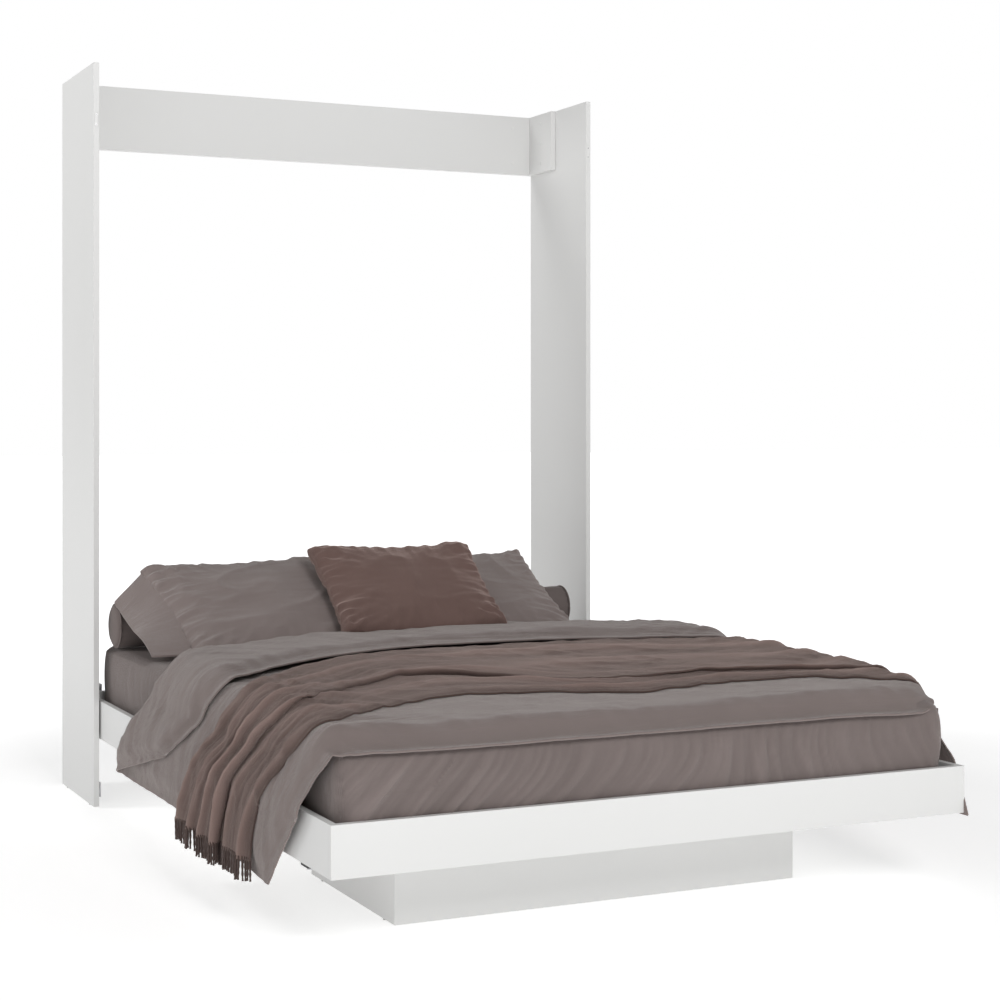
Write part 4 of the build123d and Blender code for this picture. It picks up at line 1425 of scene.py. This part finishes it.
@dataclass
class Mattress:
    """The mattress and the fitted sheet stretched over it."""

    finishes: Finishes
    corner: float = 0.036
    drop: float = 0.172
    slack_right: float = 0.018
    sheet_thick: float = 0.0012

    def _rounded(self, point: Vector, low: Vector, high: Vector, radius: float) -> Vector:
        """Move a point of a sharp box onto the box with rounded edges."""
        inner = Vector(
            [min(max(point[i], low[i] + radius), high[i] - radius) for i in range(2)]
            + [min(point.z, high.z - radius)]
        )
        away = point - inner
        return inner + away.normalized() * radius if away.length > 1e-6 else point

    def build(self) -> None:
        """Make the sheet and the mattress inside it."""
        low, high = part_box("fitted_sheet")
        high = high - Vector((self.slack_right, 0, 0))
        self._sheet(low, high)
        self._core()

    def _sheet(self, low: Vector, high: Vector) -> None:
        """The sheet as a grid on top with its boundary drawn down."""
        bm = bmesh.new()
        uv = bm.loops.layers.uv.new("cloth")
        crest = bm.verts.layers.float.new("fold")
        size = high - low
        bmesh.ops.create_grid(bm, x_segments=220, y_segments=120, size=0.5)
        for v in bm.verts:
            v.co = Vector(((v.co.x + 0.5) * size.x + low.x, (v.co.y + 0.5) * size.y + low.y, high.z))
        rows = 22
        edges = [e for e in bm.edges if e.is_boundary]
        for i in range(rows):
            grown = bmesh.ops.extrude_edge_only(bm, edges=edges)
            verts = [e for e in grown["geom"] if isinstance(e, bmesh.types.BMVert)]
            edges = [e for e in grown["geom"] if isinstance(e, bmesh.types.BMEdge) and e.is_boundary]
            for v in verts:
                v.co.z = high.z - (i + 1) * self.drop / rows
        for face in bm.faces:
            for loop in face.loops:
                co = loop.vert.co
                down = high.z - co.z
                x = co.x + (down if co.x >= high.x - 1e-5 else -down if co.x <= low.x + 1e-5 else 0.0)
                y = co.y + (down if co.y >= high.y - 1e-5 else -down if co.y <= low.y + 1e-5 else 0.0)
                loop[uv].uv = (x, y)
        for v in bm.verts:
            sharp = v.co.copy()
            v.co = self._rounded(sharp, low, high, self.corner)
            down = high.z - sharp.z
            front = ease((low.y + 0.05 - sharp.y) / 0.05)
            flank = ease((abs(sharp.x) - high.x + 0.05) / 0.05)
            gather = ease(down / 0.07) * (1 - 0.4 * ease((down - 0.12) / 0.05))
            fan = sharp.x * 30.0 + (1.6 - 4.5 * sharp.x) * down / self.drop
            fan += 1.2 * ripple(sharp.x * 3.0, down * 7.0, 2.0)
            near = 0.45 + 0.55 * ease(0.5 + 1.2 * ripple(sharp.x * 2.4, 3.0))
            pull = (0.0085 * ridge(fan, down * 2.5, 1.0) + 0.0045 * ridge(fan * 2.0, down * 4.0, 4.0)) * near
            belly = 0.007 * math.sin(math.pi * min(1.0, down / self.drop))
            side_lines = 0.004 * ridge(sharp.y * 20.0 + down * 4.0, down * 3.0, 2.0)
            top_lines = 0.0012 * ridge(sharp.x * 5.0, sharp.y * 6.0, 8.0)
            # The fold attribute sets painted shade between the sheet's wrinkles and a painted highlight on
            # their crests.
            v[crest] = 0.74
            if down > 0.004:
                if front > 0.5:
                    v.co.y -= pull * gather + belly - 0.001
                    v[crest] += 60.0 * (pull - 0.003) * gather
                if flank > 0.5:
                    v.co.x += math.copysign(side_lines * gather + belly - 0.004, sharp.x)
                    v[crest] += 60.0 * (side_lines - 0.001) * gather
            else:
                v.co.z += top_lines - 0.0004
        bmesh.ops.recalc_face_normals(bm, faces=list(bm.faces))
        sheet = new_piece("sheet_cover", bm)
        solid = sheet.modifiers.new("cloth thickness", "SOLIDIFY")
        solid.thickness = self.sheet_thick
        solid.offset = -1.0
        settle(sheet)
        dress(sheet, self.finishes["sheet_cloth"], BED, ["fitted_sheet"])
        self._corner_seams(low, high)

    def _corner_seams(self, low: Vector, high: Vector) -> None:
        """The sewn seam down each corner of the sheet, in the darker bolster cloth as painted shade along the
        seam.
        """
        bm = bmesh.new()
        inset = self.corner * (1 - math.sqrt(0.5))
        for x, sx in ((low.x, 1), (high.x, -1)):
            for y, sy in ((low.y, 1), (high.y, -1)):
                path = [
                    Vector((x + sx * (inset - 0.0004), y + sy * (inset - 0.0004), high.z - 0.020 - 0.010 * k))
                    for k in range(15)
                ]
                tube(bm, path, lambda t: 0.0022, 6)
        bmesh.ops.recalc_face_normals(bm, faces=list(bm.faces))
        seams = new_piece("sheet_corner_seams", bm)
        # The darker bolster cloth paints the shadow line along each corner seam.
        dress(seams, self.finishes["bolster_cloth"], BED)

    def _core(self) -> None:
        """The mattress as a quilted block with rounded edges."""
        low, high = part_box("mattress")
        low, high = low + Vector((0.010, 0.010, 0)), high - Vector((0.028, 0.010, 0.004))
        bm = bmesh.new()
        uv = bm.loops.layers.uv.new("cloth")
        bmesh.ops.create_cube(bm, size=1.0)
        size, centre = high - low, (low + high) / 2
        place = Matrix.Translation(centre) @ Matrix.Diagonal((*size, 1.0))
        bmesh.ops.transform(bm, matrix=place, verts=bm.verts)
        radius = 0.022
        for axis, cuts in ((0, 24), (1, 30), (2, 3)):
            along = [e for e in bm.edges if abs((e.verts[0].co - e.verts[1].co)[axis]) > 0.9 * size[axis]]
            bmesh.ops.subdivide_edges(bm, edges=along, cuts=cuts, use_grid_fill=True)
        for v in bm.verts:
            sharp = v.co.copy()
            inner = Vector([min(max(sharp[i], low[i] + radius), high[i] - radius) for i in range(3)])
            away = sharp - inner
            v.co = inner + away.normalized() * radius
            if away.z > 0.9 * radius or away.z < -0.9 * radius:
                tuft = 0.5 - 0.5 * math.cos(sharp.x * 40.0) * math.cos(sharp.y * 40.0)
                v.co.z -= math.copysign(0.003 * (1 - tuft), away.z)
        for face in bm.faces:
            for loop in face.loops:
                loop[uv].uv = (loop.vert.co.x + loop.vert.co.z, loop.vert.co.y + loop.vert.co.z)
        bmesh.ops.recalc_face_normals(bm, faces=list(bm.faces))
        core = new_piece("mattress_core", bm)
        dress(core, self.finishes["mattress_ticking"], BED, ["mattress"])


# ---------------------------------------------------------------- fittings


@dataclass
class Springs:
    """The wound tension springs that stand for the plain CAD bars."""

    finishes: Finishes
    wire: float = 0.0022
    coils: int = 42
    eye: float = 0.0085
    hook_inset: float = 0.011
    neck: float = 0.018

    def _wind(self, low: Vector, high: Vector) -> list[Vector]:
        """The centre line of one spring, from its lower eye to its upper one."""
        middle = (low + high) / 2
        radius = (high.y - low.y) / 2 - self.wire
        foot, head = low.z + self.hook_inset, high.z - self.hook_inset
        turns = self.coils * 12
        loop = [math.pi * (1.5 - k / 8) for k in range(14)]

        def hook(level: float, turn: float) -> list[Vector]:
            """The loop at one end, turned down (-1) or up (1)."""
            return [
                Vector((middle.x, middle.y + self.eye * math.cos(a), level + turn * self.eye * math.sin(a)))
                for a in loop
            ]

        path = hook(foot, -1.0)
        start, run = foot + self.neck, head - foot - 2 * self.neck
        for k in range(turns + 1):
            angle = 2 * math.pi * self.coils * k / turns
            grow = radius * min(1.0, k / 10, (turns - k) / 10)
            x, y = middle.x + grow * math.sin(angle), middle.y + grow * math.cos(angle)
            path.append(Vector((x, y, start + run * k / turns)))
        return path + hook(head, 1.0)

    def build(self) -> None:
        """Wind one spring a side."""
        for side in Side:
            node = f"spring_{side.word}"
            low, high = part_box(node)
            bm = bmesh.new()
            tube(bm, self._wind(low, high), lambda t: self.wire, 6)
            bmesh.ops.recalc_face_normals(bm, faces=list(bm.faces))
            piece = new_piece(f"counter_spring_{side.word}", bm)
            dress(piece, self.finishes["spring_steel"], CABINET, [node])
            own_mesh(piece)


@dataclass
class Caps:
    """Pressed-in covers over the rail's wall screws."""

    finishes: Finishes

    def build(self) -> None:
        """Make the covers."""
        low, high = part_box("top_rail")
        mount = next(m for m in frame["record"]["mounts"] if m["name"] == "wall_screws")
        dims = mount["dims"]
        bm = bmesh.new()
        for sx in (-0.5, 0.5):
            for sz in (-0.5, 0.5):
                x = mount["pos_m"][0] + sx * dims["spacing_x_mm"] / 1000
                z = mount["pos_m"][2] + sz * dims["spacing_y_mm"] / 1000
                self._disc(bm, Vector((x, low.y, z)), Vector((0, -1, 0)), 0.0062, 0.0007)
        bmesh.ops.recalc_face_normals(bm, faces=list(bm.faces))
        piece = new_piece("rail_screw_caps", bm)
        dress(piece, self.finishes["white_plastic"], CABINET)

    @staticmethod
    def _disc(bm: bmesh.types.BMesh, at: Vector, out: Vector, radius: float, height: float) -> None:
        """A low disc with a bevelled rim."""
        turn = out.to_track_quat("Z", "Y").to_matrix().to_4x4()
        made = bmesh.ops.create_cone(
            bm,
            cap_ends=True,
            segments=32,
            radius1=radius,
            radius2=radius,
            depth=height,
            matrix=Matrix.Translation(at + out * height / 2) @ turn,
        )
        rim = [
            e
            for e in {e for v in made["verts"] for e in v.link_edges}
            if all((v.co - at).dot(out) > height * 0.9 for v in e.verts)
        ]
        bmesh.ops.bevel(
            bm, geom=rim, offset=height * 0.6, segments=2, profile=0.5, affect="EDGES", material=-1
        )


# ---------------------------------------------------------------- stage


@dataclass
class Studio:
    """A pale floor, soft light and the camera."""

    camera_at: tuple[float, float, float] = (-2.2418, -6.0290, 1.1595)
    turn: float = 0.429
    lens: float = 68.12
    shift: tuple[float, float] = (0.050, -0.0775)

    def build(self) -> None:
        """Set up the stage."""
        self._floor()
        self._world()
        self._lamp("front_softbox", (-0.6, -5.9, 3.4), (0.1, -0.2, 0.7), 1.6, 138.0)
        self._lamp("left_softbox", (-4.6, 2.2, 4.2), (0.0, -0.4, 0.5), 1.4, 62.0)
        self._camera()

    @staticmethod
    def _floor() -> None:
        """A wide plain floor."""
        bm = bmesh.new()
        bmesh.ops.create_grid(bm, x_segments=1, y_segments=1, size=60.0)
        floor = new_piece("floor", bm, smooth=False)
        material, shader = _principled("floor_paint")
        shader.inputs["Base Color"].default_value = (0.93, 0.93, 0.93, 1.0)
        shader.inputs["Roughness"].default_value = 0.9
        shader.inputs["Specular IOR Level"].default_value = 0.1
        shader.inputs["Emission Color"].default_value = (1.0, 1.0, 1.0, 1.0)
        nodes, links = material.node_tree.nodes, material.node_tree.links
        where = nodes.new("ShaderNodeTexCoord")
        reach = nodes.new("ShaderNodeVectorMath")
        reach.operation = "LENGTH"
        links.new(where.outputs["Object"], reach.inputs[0])
        fade = nodes.new("ShaderNodeMapRange")
        for socket, value in (("From Min", 1.8), ("From Max", 4.5), ("To Min", 0.42), ("To Max", 0.92)):
            fade.inputs[socket].default_value = value
        links.new(reach.outputs["Value"], fade.inputs["Value"])
        links.new(fade.outputs["Result"], shader.inputs["Emission Strength"])
        floor.data.materials.append(material)

    @staticmethod
    def _world() -> None:
        """An even pale sky."""
        world = bpy.data.worlds.new("studio")
        world.use_nodes = True
        nodes, links = world.node_tree.nodes, world.node_tree.links
        light = nodes["Background"]
        light.inputs["Strength"].default_value = 0.36
        backdrop = nodes.new("ShaderNodeBackground")
        for node in (light, backdrop):
            node.inputs["Color"].default_value = (1.0, 1.0, 1.0, 1.0)
        path, mix = nodes.new("ShaderNodeLightPath"), nodes.new("ShaderNodeMixShader")
        links.new(path.outputs["Is Camera Ray"], mix.inputs[0])
        links.new(light.outputs[0], mix.inputs[1])
        links.new(backdrop.outputs[0], mix.inputs[2])
        links.new(mix.outputs[0], nodes["World Output"].inputs["Surface"])
        bpy.context.scene.world = world

    @staticmethod
    def _lamp(
        name: str, at: tuple[float, float, float], aim: tuple[float, float, float], size: float, power: float
    ) -> None:
        """One square area light aimed at a point."""
        data = bpy.data.lights.new(name, "AREA")
        data.size = size
        data.energy = power
        lamp = bpy.data.objects.new(name, data)
        lamp.location = at
        lamp.rotation_euler = (Vector(aim) - Vector(at)).to_track_quat("-Z", "Y").to_euler()
        bpy.context.scene.collection.objects.link(lamp)

    def _camera(self) -> None:
        """The camera, level and turned towards the bed's right."""
        data = bpy.data.cameras.new("camera")
        data.lens = self.lens
        data.sensor_width = 36.0
        data.shift_x, data.shift_y = self.shift
        camera = bpy.data.objects.new("camera", data)
        x, y, z = self.camera_at
        camera.location = (x, WALL_Y + y, z)
        camera.rotation_euler = (math.pi / 2, 0.0, -self.turn)
        scene = bpy.context.scene
        scene.collection.objects.link(camera)
        scene.camera = camera
        scene.view_settings.view_transform = "Standard"


def main() -> None:
    """Build every sub-assembly in order."""
    logging.basicConfig(level=logging.INFO, format="%(message)s")
    finishes = Finishes()
    dress_nodes(finishes)
    tuck = Tuck()
    Studio().build()
    Mattress(finishes).build()
    duvet = Duvet(finishes, tuck)
    duvet.build()
    Throw(finishes, tuck, duvet).build()
    Pillows(finishes, tuck).build()
    Springs(finishes).build()
    Caps(finishes).build()


if __name__ == "__main__":
    main()
